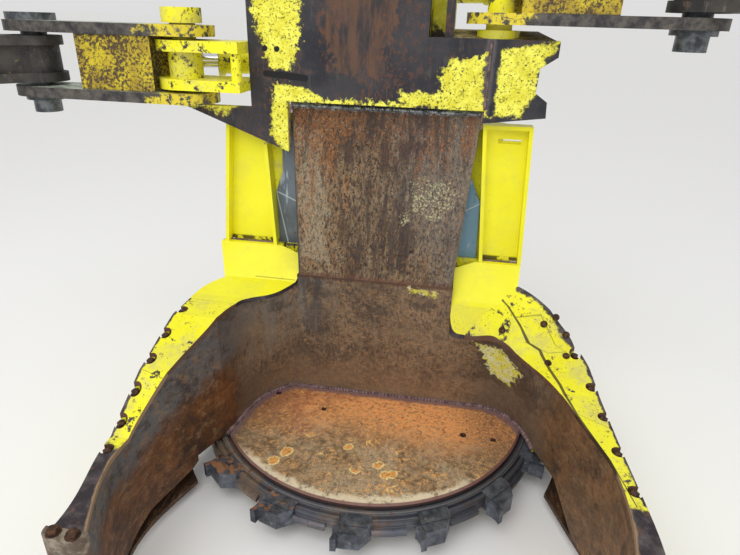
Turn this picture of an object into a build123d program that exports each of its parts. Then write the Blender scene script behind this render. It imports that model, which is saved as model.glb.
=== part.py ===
from build123d import *
from math import atan2, cos, degrees, hypot, radians, sin
import os

# Disc saw felling head. Millimetres, +Z up, floor at Z 0, saw axis on Z.
# The pocket opens towards -Y, the carrier is behind at +Y.

os.makedirs("parts", exist_ok=True)

# Saw
rim_gap = 8.0
rim_width = 36.0
rim_thickness = 50.0
rim_groove = 4.0
rim_ledge = 16.0
rim_ledge_height = 20.0
web_thickness = 36.0
tooth_count = 16
tooth_width = 100.0
tooth_reach = 52.0
tooth_seat = 24.0
tooth_height = 62.0
tooth_first_angle = -131.2
bit_size = 50.0
bit_reach = 16.0
bit_thickness = 18.0
bit_dish = 6.0
hub_radius = 130.0
hub_height = 26.0
hub_bore_radius = 55.0
spindle_clearance = 0.1
saw_gap = 11.0
saw_side_gap = 10.0

# Deck and base
deck_top = 150.0
deck_plate = 15.0
butt_radius = 576.0
butt_back = -15.0
butt_edge_bevel = 5.0
base_plate = 16.0
base_top = 54.0
skid_height = 38.0
skid_width = 60.0
guard_plate = 14.0
guard_from = -10.0
guard_to = 208.0

# Walls
wall_plate = 16.0
crease_height = 678.0
flange_plate = 14.0
outer_plate = 14.0
tip_plate = 32.0

# Plan of the pocket: x, y from the left horn round the back to the right horn
pocket_foot_left = [(-470, -339), (-456, -269), (-441, -179), (-400, -88), (-318, -15)]
pocket_foot_right = [(414, -15), (493, -40), (548, -96), (581, -168), (594, -222)]
pocket_top_left = [(-470, -339), (-459, -266), (-402, -196), (-322, -146), (-265, -97)]
pocket_top_right = [(265, -97), (428, -132), (503, -180), (558, -212), (594, -222)]

# Plan of the horns: x, y of the inner and the outer edge, neck first
horn_left_inner = [(-470, -339), (-511, -439), (-550, -541), (-588, -660), (-597, -770),
                   (-572, -880), (-518, -1010)]
horn_left_outer = [(-606, -240), (-614, -317), (-625, -404), (-631, -490),
                   (-639, -575), (-647, -665), (-641, -770), (-618, -870), (-604, -1010)]
horn_right_inner = [(594, -222), (632, -310), (660, -386), (693, -478), (722, -560),
                    (736, -660), (732, -780), (708, -900), (664, -1010)]
horn_right_outer = [(487, -44), (529, -53), (581, -69), (618, -83), (654, -95), (692, -112), (723, -149),
                    (740, -218), (748, -311), (756, -430), (766, -560), (779, -700), (785, -850), (750, -1010)]

# Necks, where the horns turn into the shoulders: inner lip of the flange, outer edge of the shoulder
flange_lip_left = [(-441, -245), (-455, -275), (-472, -342)]
flange_lip_right = [(325, -111), (377, -110), (452, -115), (515, -166), (560, -208), (592, -246)]
neck_left = [(-532, -112), (-548, -124), (-580, -159), (-600, -199), (-606, -240)]
neck_right = [(487, -44)]
neck_relief_right = [(470, 0), (580, 0), (580, -160), (470, -160)]
neck_relief_height = 175.0

# Recesses in the outer edge of the flanges, places along the machine
notch_radius = 19.0
notch_inset = 12.0
notch_depth = 44.0
notches_left = [(-612, -310), (-624, -408), (-631, -497), (-639, -584), (-647, -662), (-642, -748)]
notches_right = [(704, -128), (741, -257), (754, -388), (764, -527), (775, -661)]

# Height of the shoulders and horn tops along the machine, and of the foot of the inner walls: y, z
top_left = [(12, 745), (-12, 745), (-104, 650), (-207, 622), (-340, 612), (-440, 566), (-540, 524),
            (-620, 464), (-700, 408), (-1010, 408)]
top_right = [(12, 745), (-12, 745), (-76, 622), (-112, 508), (-150, 485), (-200, 467),
             (-300, 448), (-620, 430), (-1010, 408)]
foot_left = [(-339, 150), (-440, 146), (-490, 116), (-570, 104), (-666, 100), (-776, 68), (-1010, 54)]
foot_right = [(-222, 150), (-356, 150), (-490, 54), (-1010, 54)]

# Tower
shoulder_inner = 270.0
wear_plate = 30.0
wear_foot = crease_height
wear_top = 1245.0
wear_foot_half = 265.0
wear_lean = 97.0
spine_half = 200.0
spine_plate = 25.0
skin_plate = 12.0
tower_top = 1800.0
tower_plate = 30.0
tower_front = -45.0
tower_left = -420.0
tower_right = 130.0
wing_right = 311.0
tower_step = 1450.0
tower_foot = wear_top + 5
back_foot = 1150.0
back_depth = 150.0
column_foot = 745.0
column_web = 12.0
column_front = -12.0
column_back = 40.0
side_guard_plate = 10.0
side_guard_foot = 650.0
closer_plate = 12.0

# Arms: pivot places and stack of plates, each from bottom to top
pin_radius = 38.0
arm_left_pivot = (-625.0, -50.0)
arm_left_elbow = (-1135.0, -50.0)
arm_right_pivot = (330.0, 30.0)
arm_right_elbow = (838.0, -60.0)
arm_left_lever = (-685.0, 110.0)
arm_right_lever = (390.0, 190.0)
cylinder_left_base = (-240.0, 330.0)
cylinder_right_base = (0.0, 390.0)
barrel_radius = 44.0
barrel_bore = 31.0
rod_radius = 25.0
eye_radius = 40.0
eye_height = 50.0
lug_plate = 18.0
lug_half = 50.0
arm_left_low = 1236.0
arm_left_high = 1430.0
arm_left_plate = 32.0
arm_right_low = 1488.0
arm_right_high = 1668.0
arm_right_plate = 30.0
bracket_plate = 32.0
bracket_gap = 10.0
shelf_plate = 25.0
claw_gap = 12.0
claw_plate = 28.0
elbow_hub = 80.0
open_gap = 6.0


def beside(points, distance):
    """Points at a distance to the left of a line of points, seen from above."""
    moved = []
    for i, (x, y) in enumerate(points):
        before = points[max(i - 1, 0)]
        after = points[min(i + 1, len(points) - 1)]
        run = hypot(after[0] - before[0], after[1] - before[1])
        moved.append((x - distance * (after[1] - before[1]) / run,
                      y + distance * (after[0] - before[0]) / run))
    return moved


def curved_strip(points, thickness):
    """Plan of a curved wall with one face on the points."""
    return plan_between(points, beside(points, thickness))


def plan_between(first, second):
    """Plan of a plate between two curved edges."""
    with BuildSketch() as plan:
        with BuildLine():
            near = Spline(*first)
            far = Spline(*second)
            Line(near @ 0, far @ 0)
            Line(near @ 1, far @ 1)
        make_face()
    return plan.sketch


def below(profile, foot):
    """Side view of what lies under the flange plate, down to a line of y, z points."""
    under = beside(profile, flange_plate)
    with BuildSketch() as view:
        with BuildLine():
            Polyline(*under, *reversed(foot), close=True)
        make_face()
    return view.sketch


def flange_band(profile):
    """Side view of the flange plate along a falling top."""
    under = beside(profile, flange_plate)
    with BuildSketch() as view:
        with BuildLine():
            Polyline(*profile, *reversed(under), close=True)
        make_face()
    return view.sketch


def height_at(profile, place):
    """Height of a falling top at a place along the machine."""
    for (y0, z0), (y1, z1) in zip(profile, profile[1:]):
        if y0 >= place >= y1:
            return z0 + (z1 - z0) * (place - y0) / (y1 - y0)


def save(built, name):
    built.part.label = name
    export_step(built.part, "parts/" + name + ".step")


rim_inner_radius = butt_radius + rim_gap
rim_radius = rim_inner_radius + rim_width
saw_room = hypot(rim_radius + tooth_reach + bit_reach, tooth_width / 2 + bit_thickness) + saw_side_gap
guard_radius = saw_room + guard_plate

# Saw disc: web under the butt plate, raised rim outside it, seats for the holders
disc_top = deck_top - deck_plate - saw_gap
rim_top = deck_top - deck_plate
rim_foot = rim_top - rim_thickness
web_foot = disc_top - web_thickness
seat_radius = rim_radius - tooth_seat
tooth_step = 360.0 / tooth_count
with BuildPart() as saw_disc:
    with BuildSketch(Plane.XZ):
        with BuildLine():
            Polyline((hub_bore_radius + 5, web_foot), (rim_inner_radius, web_foot),
                     (rim_inner_radius + 6, rim_foot), (rim_radius + rim_ledge, rim_foot),
                     (rim_radius + rim_ledge, rim_foot + rim_ledge_height - 6),
                     (rim_radius + rim_ledge - 6, rim_foot + rim_ledge_height),
                     (rim_radius, rim_foot + rim_ledge_height), (rim_radius, rim_top - 8),
                     (rim_radius - 12, rim_top - 8), (rim_radius - 12, rim_top - 8 - rim_groove),
                     (rim_radius - 18, rim_top - 8 - rim_groove), (rim_radius - 18, rim_top),
                     (rim_inner_radius, rim_top), (rim_inner_radius, disc_top),
                     (hub_bore_radius + 5, disc_top), close=True)
        make_face()
    revolve(axis=Axis.Z)
    with BuildSketch(Plane.XY.offset(rim_foot - 1)):
        with PolarLocations(seat_radius, tooth_count, start_angle=tooth_first_angle):
            Rectangle(80, tooth_width, align=(Align.MIN, Align.CENTER))
    extrude(amount=rim_thickness + 2, mode=Mode.SUBTRACT)
    with BuildSketch(Plane.XY.offset(rim_foot - 1)):
        with PolarLocations(0, tooth_count, start_angle=tooth_first_angle):
            Polygon((rim_radius, 0), (rim_radius + 60, 0), (rim_radius + 60, -tooth_width / 2 - bit_thickness - 24),
                    (rim_radius - 6, -tooth_width / 2 - bit_thickness - 24), align=None)
    extrude(amount=rim_ledge_height + 3, mode=Mode.SUBTRACT)
save(saw_disc, "saw_disc")

with BuildPart() as saw_hub:
    with BuildSketch(Plane.XY.offset(web_foot - hub_height)):
        Circle(hub_radius)
        Circle(hub_bore_radius + spindle_clearance, mode=Mode.SUBTRACT)
    extrude(amount=hub_height)
    chamfer(saw_hub.faces().sort_by(Axis.Z)[0].edges().sort_by(SortBy.RADIUS)[-1], 6)
save(saw_hub, "saw_hub")

# Holder: bevelled block in its seat on the rim
with BuildPart() as tooth_holders:
    with BuildSketch(Plane.XY.offset(rim_top - 4 - tooth_height)):
        with PolarLocations(seat_radius, tooth_count, start_angle=tooth_first_angle):
            Polygon((0, -tooth_width / 2), (tooth_seat + tooth_reach, -tooth_width / 2),
                    (tooth_seat + tooth_reach, tooth_width / 2 - 34), (tooth_seat + 10, tooth_width / 2),
                    (0, tooth_width / 2), align=None)
    extrude(amount=tooth_height)
    with BuildSketch(Plane.XY.offset(rim_top - 4 - 3)):
        with PolarLocations(seat_radius, tooth_count, start_angle=tooth_first_angle):
            Polygon((tooth_seat + 20, -tooth_width / 2 - 1), (tooth_seat + 25, -tooth_width / 2 - 1),
                    (tooth_seat + 25, tooth_width / 2), (tooth_seat + 20, tooth_width / 2), align=None)
    extrude(amount=4, mode=Mode.SUBTRACT)
    with BuildSketch(Plane.XZ.offset(-300)):
        with BuildLine():
            Polyline((rim_radius + tooth_reach - 9, rim_top - 3), (rim_radius + tooth_reach + 40, rim_top - 3),
                     (rim_radius + tooth_reach + 40, rim_top - 52), close=True)
        make_face()
    revolve(axis=Axis.Z, mode=Mode.SUBTRACT)
save(tooth_holders, "tooth_holders")

bit_from = tooth_seat + tooth_reach - bit_size + bit_reach
with BuildPart() as tooth_bits:
    with BuildSketch(Plane.XY.offset(rim_top - 4 - tooth_height + 6)):
        with PolarLocations(seat_radius, tooth_count, start_angle=tooth_first_angle):
            Polygon((bit_from, -tooth_width / 2 - bit_thickness),
                    (bit_from + bit_size * 0.25, -tooth_width / 2 - bit_thickness + bit_dish * 0.75),
                    (bit_from + bit_size * 0.5, -tooth_width / 2 - bit_thickness + bit_dish),
                    (bit_from + bit_size * 0.75, -tooth_width / 2 - bit_thickness + bit_dish * 0.75),
                    (bit_from + bit_size, -tooth_width / 2 - bit_thickness),
                    (bit_from + bit_size, -tooth_width / 2), (bit_from, -tooth_width / 2), align=None)
    extrude(amount=bit_size)
save(tooth_bits, "tooth_bits")

# Base plate and skids below the disc, spindle on the base
with BuildPart() as base:
    with BuildSketch(Plane.XY.offset(base_top - base_plate)):
        Circle(guard_radius)
        Rectangle(2 * guard_radius, guard_radius, align=(Align.CENTER, Align.MAX), mode=Mode.SUBTRACT)
        Circle(butt_radius - 30)
    extrude(amount=base_plate)
save(base, "base_plate")

with BuildPart() as skids:
    with Locations((-420, 60, 0), (0, 60, 0), (420, 60, 0)):
        Box(skid_width, 760, skid_height, align=(Align.CENTER, Align.CENTER, Align.MIN))
    chamfer(skids.faces().sort_by(Axis.Z)[0:3].edges().filter_by(Axis.X), 24)
save(skids, "skids")

with BuildPart() as spindle:
    with BuildSketch(Plane.XY.offset(base_top)):
        Circle(hub_bore_radius + 14)
    extrude(amount=web_foot - hub_height - base_top - 3)
    with BuildSketch(Plane.XY.offset(base_top)):
        Circle(hub_bore_radius)
    extrude(amount=disc_top - base_top)
save(spindle, "spindle")

# Guard round the back of the disc
with BuildPart() as saw_guard:
    with BuildSketch(Plane.XY.offset(base_top)):
        with BuildLine():
            near = CenterArc((0, 0), guard_radius - guard_plate, guard_from, guard_to)
            far = CenterArc((0, 0), guard_radius, guard_from, guard_to)
            Line(near @ 0, far @ 0)
            Line(near @ 1, far @ 1)
        make_face()
    extrude(amount=deck_top - deck_plate - base_top)
save(saw_guard, "saw_guard")

# Butt plate: round front, back corners cut off along the foot of the pocket wall
with BuildPart() as butt:
    with BuildSketch(Plane.XY.offset(deck_top - deck_plate)):
        Circle(butt_radius)
        with BuildLine():
            Spline(*pocket_foot_left)
            Line(pocket_foot_left[-1], pocket_foot_right[0])
            Spline(*pocket_foot_right)
            Polyline(pocket_foot_right[-1], (600, -900), (-600, -900), pocket_foot_left[0])
        make_face(mode=Mode.INTERSECT)
    extrude(amount=deck_plate)
    chamfer(butt.faces().sort_by(Axis.Z)[-1].edges().filter_by(GeomType.CIRCLE), butt_edge_bevel)
    with Locations((355, -196, deck_top)):
        Hole(12)
    with BuildSketch(Plane.XY.offset(deck_top)):
        with Locations((-363, -86), (461, -202), (-167, -148)):
            Rectangle(18, 18)
    extrude(amount=-deck_plate, mode=Mode.SUBTRACT)
save(butt, "butt_plate")

# Deck behind the butt plate, over the guard
with BuildPart() as deck:
    with BuildSketch(Plane.XY.offset(deck_top - deck_plate)):
        Circle(guard_radius)
        with BuildLine():
            Spline(*pocket_foot_left)
            Line(pocket_foot_left[-1], pocket_foot_right[0])
            Spline(*pocket_foot_right)
            Polyline(pocket_foot_right[-1], (guard_radius, -150), (guard_radius, guard_radius),
                     (-guard_radius, guard_radius), (-guard_radius, -310), pocket_foot_left[0])
        make_face(mode=Mode.INTERSECT)
    extrude(amount=deck_plate)
save(deck, "deck_plate")

# Pocket wall: curved sheet, leaning forward up to the crease
def pocket_plan(left, right):
    """Plan of the sheet round the back of the pocket."""
    points = left + right
    shifted = [beside(horn_left_inner, -wall_plate)[0], *beside(points, wall_plate)[1:-1],
               beside(horn_right_inner, wall_plate)[0]]
    n = len(left)
    with BuildSketch() as plan:
        with BuildLine():
            Spline(*points[:n])
            Line(points[n - 1], points[n])
            Spline(*points[n:])
            Line(points[-1], shifted[-1])
            Spline(*shifted[n:][::-1])
            Line(shifted[n], shifted[n - 1])
            Spline(*shifted[:n][::-1])
            Line(shifted[0], points[0])
        make_face()
    return plan.sketch


with BuildPart() as pocket_wall:
    with BuildSketch(Plane.XY.offset(deck_top)):
        add(pocket_plan(pocket_foot_left, pocket_foot_right))
    with BuildSketch(Plane.XY.offset(crease_height)):
        add(pocket_plan(pocket_top_left, pocket_top_right))
    loft(ruled=True)
    for x, top, reach in ((shoulder_inner, top_right, 600), (-shoulder_inner, top_left, -600)):
        with BuildSketch(Plane.YZ.offset(x)):
            with BuildLine():
                Polyline(*beside(top, flange_plate), (top[-1][0], 900), (top[0][0], 900), close=True)
            make_face()
        extrude(amount=reach, mode=Mode.SUBTRACT)
save(pocket_wall, "pocket_wall")

# Horns: side, lip of the neck, inner edge, outer edge with its neck, top line, foot line of the inner wall
horns = [
    ("left", flange_lip_left, horn_left_inner, horn_left_outer, neck_left, top_left, foot_left, notches_left, -1),
    ("right", flange_lip_right, horn_right_inner, horn_right_outer, neck_right, top_right, foot_right,
     notches_right, 1),
]
for side, lip, inner, outer, neck, top, foot, notches, out in horns:
    recesses = beside(notches, -out * notch_inset)
    floor = [(top[0][0], 0), (top[-1][0], 0)]
    with BuildPart() as inner_wall:
        with BuildSketch(Plane.XY.offset(base_top)):
            add(curved_strip(inner, out * wall_plate))
        extrude(amount=700)
        with BuildSketch(Plane.XY.offset(base_top)):
            Circle(saw_room)
        extrude(amount=deck_top - base_top, mode=Mode.SUBTRACT)
        with BuildSketch(Plane.YZ):
            add(below(top, [(top[0][0], deck_top), *foot]))
        extrude(amount=1200, both=True, mode=Mode.INTERSECT)
    save(inner_wall, "horn_inner_" + side)

    with BuildPart() as flange:
        with BuildSketch(Plane.XY.offset(base_top)):
            add(plan_between(lip + inner[1:], outer))
        extrude(amount=800)
        with BuildSketch(Plane.YZ):
            add(flange_band(top))
        extrude(amount=1200, both=True, mode=Mode.INTERSECT)
        with BuildSketch(Plane.XY.offset(base_top)):
            with Locations(*recesses):
                Circle(notch_radius)
        extrude(amount=800, mode=Mode.SUBTRACT)
    save(flange, "horn_flange_" + side)

    with BuildPart() as outer_wall:
        with BuildSketch(Plane.XY.offset(base_top)):
            add(curved_strip(neck + outer[1:], -out * outer_plate))
        extrude(amount=800)
        with BuildSketch(Plane.XY.offset(base_top)):
            Circle(guard_radius)
        extrude(amount=deck_top - base_top, mode=Mode.SUBTRACT)
        with BuildSketch(Plane.YZ):
            add(below(top, floor))
        extrude(amount=1200, both=True, mode=Mode.INTERSECT)
        for x, y in recesses:
            with BuildSketch(Plane.XY.offset(height_at(top, y) - notch_depth)):
                with Locations((x, y)):
                    Circle(notch_radius)
            extrude(amount=300, mode=Mode.SUBTRACT)
        if side == "right":
            with BuildSketch(Plane.XY.offset(deck_top)):
                Polygon(*neck_relief_right, align=None)
            extrude(amount=neck_relief_height, mode=Mode.SUBTRACT)
    save(outer_wall, "horn_outer_" + side)

    with BuildPart() as sole:
        with BuildSketch(Plane.XY.offset(base_top - base_plate)):
            add(plan_between(inner, outer))
        extrude(amount=base_plate)
        with BuildSketch(Plane.XY.offset(base_top - base_plate)):
            Circle(guard_radius)
        extrude(amount=base_plate, mode=Mode.SUBTRACT)
    save(sole, "horn_sole_" + side)

    tip = [(inner[-1][0] + outer[-1][0]) / 2, inner[-1][1]]
    width = abs(outer[-1][0] - inner[-1][0]) + 20
    with BuildPart() as tip_block:
        with Locations((tip[0], tip[1], base_top)):
            Box(width, tip_plate, 362, align=(Align.CENTER, Align.MAX, Align.MIN))
        fillet(tip_block.edges().filter_by(Axis.Z).sort_by(Axis.Y)[:2], 24)
    save(tip_block, "horn_tip_" + side)

# Wear plate up the front of the tower
with BuildPart() as wear:
    with BuildSketch(Plane.XY.offset(wear_foot)):
        with Locations((0, -wear_lean)):
            Rectangle(2 * wear_foot_half, wear_plate, align=(Align.CENTER, Align.MIN))
    with BuildSketch(Plane.XY.offset(wear_top)):
        with Locations((4, 0)):
            Rectangle(608, wear_plate, align=(Align.CENTER, Align.MIN))
    loft(ruled=True)
save(wear, "wear_plate")

# Tower face with its wings
with BuildPart() as tower_face:
    with BuildSketch(Plane.XZ.offset(-tower_front - tower_plate)):
        with BuildLine():
            Polyline((tower_left, tower_foot), (wing_right, tower_foot), (wing_right, tower_step),
                     (tower_right, tower_step),
                     (tower_right, tower_top), (tower_left, tower_top), close=True)
        make_face()
    extrude(amount=tower_plate)
save(tower_face, "tower_face")

with BuildPart() as wing_l:
    with BuildSketch(Plane.XZ.offset(-tower_front - tower_plate)):
        with BuildLine():
            Polyline((-655, tower_foot - 24), (-302, tower_foot - 158), (-302, tower_foot), (tower_left, tower_foot),
                     (tower_left, tower_foot - 24), close=True)
        make_face()
    extrude(amount=tower_plate)
save(wing_l, "wing_left")

with BuildPart() as wing_r:
    with BuildSketch(Plane.XZ.offset(-tower_front - tower_plate)):
        with BuildLine():
            Polyline((wing_right, tower_foot), (wing_right, tower_foot - 36), (492, tower_foot - 12),
                     (489, tower_foot + 33), (453, tower_foot + 57), (456, tower_foot + 126),
                     (502, tower_step - 43), (502, tower_step), (wing_right, tower_step), close=True)
        make_face()
    extrude(amount=tower_plate)
save(wing_r, "wing_right")

# Spine: two shaped side plates with a back plate and a curved skin between them
spine_back = [(540, deck_top), (440, 400), (300, 700), (190, 900), (back_depth, back_foot)]
for side, x in (("left", -spine_half), ("right", spine_half - spine_plate)):
    with BuildPart() as spine:
        with BuildSketch(Plane.YZ.offset(x)):
            with BuildLine():
                Polyline((back_depth, tower_top), (-15, tower_top), (-15, wear_top), (30, wear_top), (-67, wear_foot),
                         (-81, wear_foot), (1, deck_top), (540, deck_top))
                Spline(*spine_back)
                Line(spine_back[-1], (back_depth, tower_top))
            make_face()
        extrude(amount=spine_plate)
    save(spine, "spine_" + side)

with BuildPart() as back_plate:
    with Locations((0, back_depth, back_foot)):
        Box(2 * (spine_half - spine_plate), 20, tower_top - back_foot, align=(Align.CENTER, Align.MAX, Align.MIN))
save(back_plate, "back_plate")

with BuildPart() as spine_skin:
    with BuildSketch(Plane.YZ.offset(-spine_half + spine_plate)):
        add(curved_strip(spine_back[1:], skin_plate))
    extrude(amount=2 * (spine_half - spine_plate))
save(spine_skin, "spine_skin")

with BuildPart() as tower_cap:
    with BuildSketch(Plane.XY.offset(tower_top)):
        with BuildLine():
            Polyline((tower_left, tower_front), (tower_right + 110, tower_front), (tower_right + 110, back_depth),
                     (tower_left, back_depth), close=True)
        make_face()
    extrude(amount=20)
save(tower_cap, "tower_cap")

with BuildPart() as tower_side:
    with Locations((tower_left, tower_front + tower_plate, tower_foot)):
        Box(spine_plate, back_depth - tower_front - tower_plate, tower_top - tower_foot,
            align=(Align.MIN, Align.MIN, Align.MIN))
save(tower_side, "tower_side")

with BuildPart() as tower_side_right:
    with Locations((tower_right, tower_front + tower_plate, tower_step)):
        Box(spine_plate, back_depth - 20 - tower_front - tower_plate, tower_top - tower_step,
            align=(Align.MAX, Align.MIN, Align.MIN))
save(tower_side_right, "tower_side_right")

# Gussets that stiffen the spine against the deck, and the walls that close the horns at the back
with BuildPart() as gussets:
    for y in (250, 380):
        with BuildSketch(Plane.XZ.offset(-y)):
            Polygon((spine_half, deck_top), (spine_half + 220, deck_top), (spine_half + 220, deck_top + 30),
                    (spine_half, deck_top + 190), align=None)
            Polygon((-spine_half, deck_top), (-spine_half - 220, deck_top), (-spine_half - 220, deck_top + 30),
                    (-spine_half, deck_top + 190), align=None)
        extrude(amount=16)
save(gussets, "deck_gussets")

closers = [
    ("left", -572, neck_left + horn_left_outer[1:], top_left, deck_top, -1),
    ("right", 491, horn_right_outer, top_right, deck_top + neck_relief_height, 1),
]
for side, corner, edge, top, leg_foot, out in closers:
    start, inside = edge[0], beside(edge, -out * outer_plate)[0]
    with BuildPart() as closer:
        with BuildSketch(Plane.XY.offset(leg_foot)):
            Polygon((corner, 12), start, inside, (start[0] - out * closer_plate, start[1]),
                    (corner - out * closer_plate, 12), align=None)
        extrude(amount=700)
        with BuildSketch(Plane.YZ):
            add(below(top, [(top[0][0], 0), (top[-1][0], 0)]))
        extrude(amount=1200, both=True, mode=Mode.INTERSECT)
        with BuildSketch(Plane.XY.offset(deck_top)):
            Polygon((out * spine_half, 12), (out * spine_half, 12 + closer_plate), (corner, 12 + closer_plate),
                    (corner, 12), align=None)
        extrude(amount=column_foot - deck_top)
        if side == "right":
            with BuildSketch(Plane.XY.offset(deck_top)):
                Polygon((corner - closer_plate, 12), (578, -66), (590, -69), (corner, 12 + closer_plate), align=None)
            extrude(amount=neck_relief_height)
    save(closer, "horn_closer_" + side)

# Folded guards behind the columns, each with a narrower upper part: outer edge, from, to
side_guards = [
    ("left", -1, ((548, side_guard_foot, 1105), (384, 1105, 1200))),
    ("right", 1, ((460, side_guard_foot, 1150), (384, 1150, 1205))),
]
for side, out, parts in side_guards:
    with BuildPart() as side_guard:
        for outside, low, high in parts:
            with BuildSketch(Plane.XY.offset(low)):
                Polygon((out * spine_half, 40), (out * 290, 66), (out * 372, column_back), (out * outside, column_back),
                        (out * outside, column_back + side_guard_plate), (out * 376, column_back + side_guard_plate),
                        (out * 292, 66 + side_guard_plate), (out * spine_half, 40 + side_guard_plate), align=None)
            extrude(amount=high - low)
    save(side_guard, "side_guard_" + side)

# Shoulders: the flange carried on up to the columns. Straight edge, then the curved lip over the pocket wall
shoulders = [
    ("left", top_left, neck_left,
     [(-532, -112), (-577, -14), (-578, 12), (-347, 12), (-347, -12), (-shoulder_inner, -32), (-shoulder_inner, -90)],
     [(-shoulder_inner, -90), (-276, -103), (-295, -130), (-321, -160), (-360, -185), (-406, -203), (-430, -221),
      (-441, -245)]),
    ("right", top_right, neck_right,
     [(487, -44), (491, 12), (335, 12), (335, -12), (shoulder_inner, -24), (shoulder_inner, -92)],
     [(shoulder_inner, -92), (280, -105), (298, -110), (325, -111)]),
]
for side, top, neck, edge, lip in shoulders:
    with BuildPart() as shoulder:
        with BuildSketch(Plane.XY.offset(400)):
            with BuildLine():
                Polyline(*edge)
                Spline(*lip)
                Line(lip[-1], neck[-1])
                if len(neck) > 1:
                    Spline(*reversed(neck))
            make_face()
        extrude(amount=400)
        with BuildSketch(Plane.YZ):
            add(flange_band(top))
        extrude(amount=1200, both=True, mode=Mode.INTERSECT)
    save(shoulder, "shoulder_" + side)

# Columns: open channels beside the tower, standing on the shoulders
columns = [
    ("left", (-561, -368), (-525, -390), 1165),
    ("right", (349, 490), (314, 467), 1205),
]
for side, foot, head, top_z in columns:
    with BuildPart() as column:
        for height, (lo, hi) in ((column_foot, foot), (top_z, head)):
            with BuildSketch(Plane.XY.offset(height)):
                Polygon((lo, column_front), (lo + column_web, column_front),
                        (lo + column_web, column_back - column_web), (hi - column_web, column_back - column_web),
                        (hi - column_web, column_front), (hi, column_front), (hi, column_back), (lo, column_back),
                        align=None)
        loft(ruled=True)
        with BuildSketch(Plane.XZ.offset(-column_back)):
            if side == "left":
                Polygon((head[0], top_z), (head[1], top_z - 62), (head[1] + 40, top_z + 20), (head[0], top_z + 20),
                        align=None)
            else:
                Polygon((368, 1144), (440, 1144), (440, 1158), (368, 1158), align=None)
        extrude(amount=column_back - column_front, mode=Mode.SUBTRACT)
        if side == "right":
            with BuildSketch(Plane.XY.offset(top_z - column_web)):
                Polygon((head[0] + 1, column_front), (head[1] - 1, column_front), (head[1] - 1, column_back),
                        (head[0] + 1, column_back), align=None)
            extrude(amount=column_web)
    save(column, "column_" + side)

# Saw motor behind the pocket wall
with BuildPart() as motor:
    with BuildSketch(Plane.XY.offset(deck_top)):
        with Locations((0, 170)):
            Circle(120)
    extrude(amount=40)
    with BuildSketch(Plane.XY.offset(deck_top + 40)):
        with Locations((0, 170)):
            Circle(82)
    extrude(amount=230)
    with BuildSketch(Plane.XY.offset(deck_top + 270)):
        with Locations((0, 170)):
            Circle(60)
    extrude(amount=60)
    with BuildSketch(Plane.XY.offset(deck_top + 40)):
        with Locations((0, 170)):
            with PolarLocations(103, 8):
                RegularPolygon(11, 6)
    extrude(amount=14)
    with BuildSketch(Plane.XY.offset(deck_top + 200)):
        with Locations((0, 170)):
            RectangleRounded(196, 120, 14)
    extrude(amount=70)
    with BuildSketch(Plane.XZ.offset(-230)):
        with Locations((-40, deck_top + 236), (40, deck_top + 236)):
            Circle(19)
    extrude(amount=-22)
save(motor, "saw_motor")

# Hitch: boom lugs low on the spine, tilt lugs high on the back
hitch_bore = 45.0
hitch_pin = (430.0, 560.0)
tilt_bore = 35.0
tilt_pin = (300.0, 1300.0)
with BuildPart() as hitch:
    for x in (-spine_half - 40, spine_half):
        with BuildSketch(Plane.YZ.offset(x)):
            with Locations(hitch_pin):
                Circle(88)
            Polygon((140, 320), (400, 478), (430, 648), (140, 800), align=None)
            with Locations(hitch_pin):
                Circle(hitch_bore, mode=Mode.SUBTRACT)
        extrude(amount=40)
save(hitch, "hitch_lugs")

with BuildPart() as tilt:
    for x in (-90, 60):
        with BuildSketch(Plane.YZ.offset(x)):
            with Locations(tilt_pin):
                Circle(72)
            Polygon((150, 1180), (330, 1236), (310, 1371), (150, 1440), align=None)
            with Locations(tilt_pin):
                Circle(tilt_bore, mode=Mode.SUBTRACT)
        extrude(amount=30)
save(tilt, "tilt_lugs")

# Arm brackets
bracket_left_levels = (arm_left_low + arm_left_plate + bracket_gap, arm_left_high - bracket_gap - bracket_plate)
bracket_right_levels = ((tower_step - shelf_plate, shelf_plate),
                        (arm_right_high + arm_right_plate + claw_gap, bracket_plate - 2))
with BuildPart() as bracket_left:
    for z in bracket_left_levels:
        with BuildSketch(Plane.XY.offset(z)):
            with Locations(arm_left_pivot):
                Circle(85)
            with BuildLine():
                Polyline((arm_left_pivot[0], -135), (tower_left, -135), (tower_left, 35), (arm_left_pivot[0], 35),
                         close=True)
            make_face()
        extrude(amount=bracket_plate)
    for z in bracket_left_levels:
        with BuildSketch(Plane.XY.offset(z)):
            with Locations(arm_left_pivot):
                Circle(pin_radius)
        extrude(amount=bracket_plate, mode=Mode.SUBTRACT)
    with BuildSketch(Plane.XY.offset(bracket_left_levels[0] + bracket_plate)):
        with Locations((tower_left - 16, -112)):
            Circle(16)
    extrude(amount=bracket_left_levels[1] - bracket_left_levels[0] - bracket_plate)
save(bracket_left, "arm_bracket_left")

with BuildPart() as pin_left:
    with BuildSketch(Plane.XY.offset(arm_left_low - 10)):
        with Locations(arm_left_pivot):
            Circle(pin_radius)
    extrude(amount=arm_left_high + arm_left_plate + 58 - arm_left_low)
    for z, r, h in ((bracket_left_levels[0] + bracket_plate, 52,
                     bracket_left_levels[1] - bracket_left_levels[0] - bracket_plate),
                    (arm_left_high + arm_left_plate + 5, 60, 43)):
        with BuildSketch(Plane.XY.offset(z)):
            with Locations(arm_left_pivot):
                Circle(r)
        extrude(amount=h)
save(pin_left, "arm_pin_left")

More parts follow.
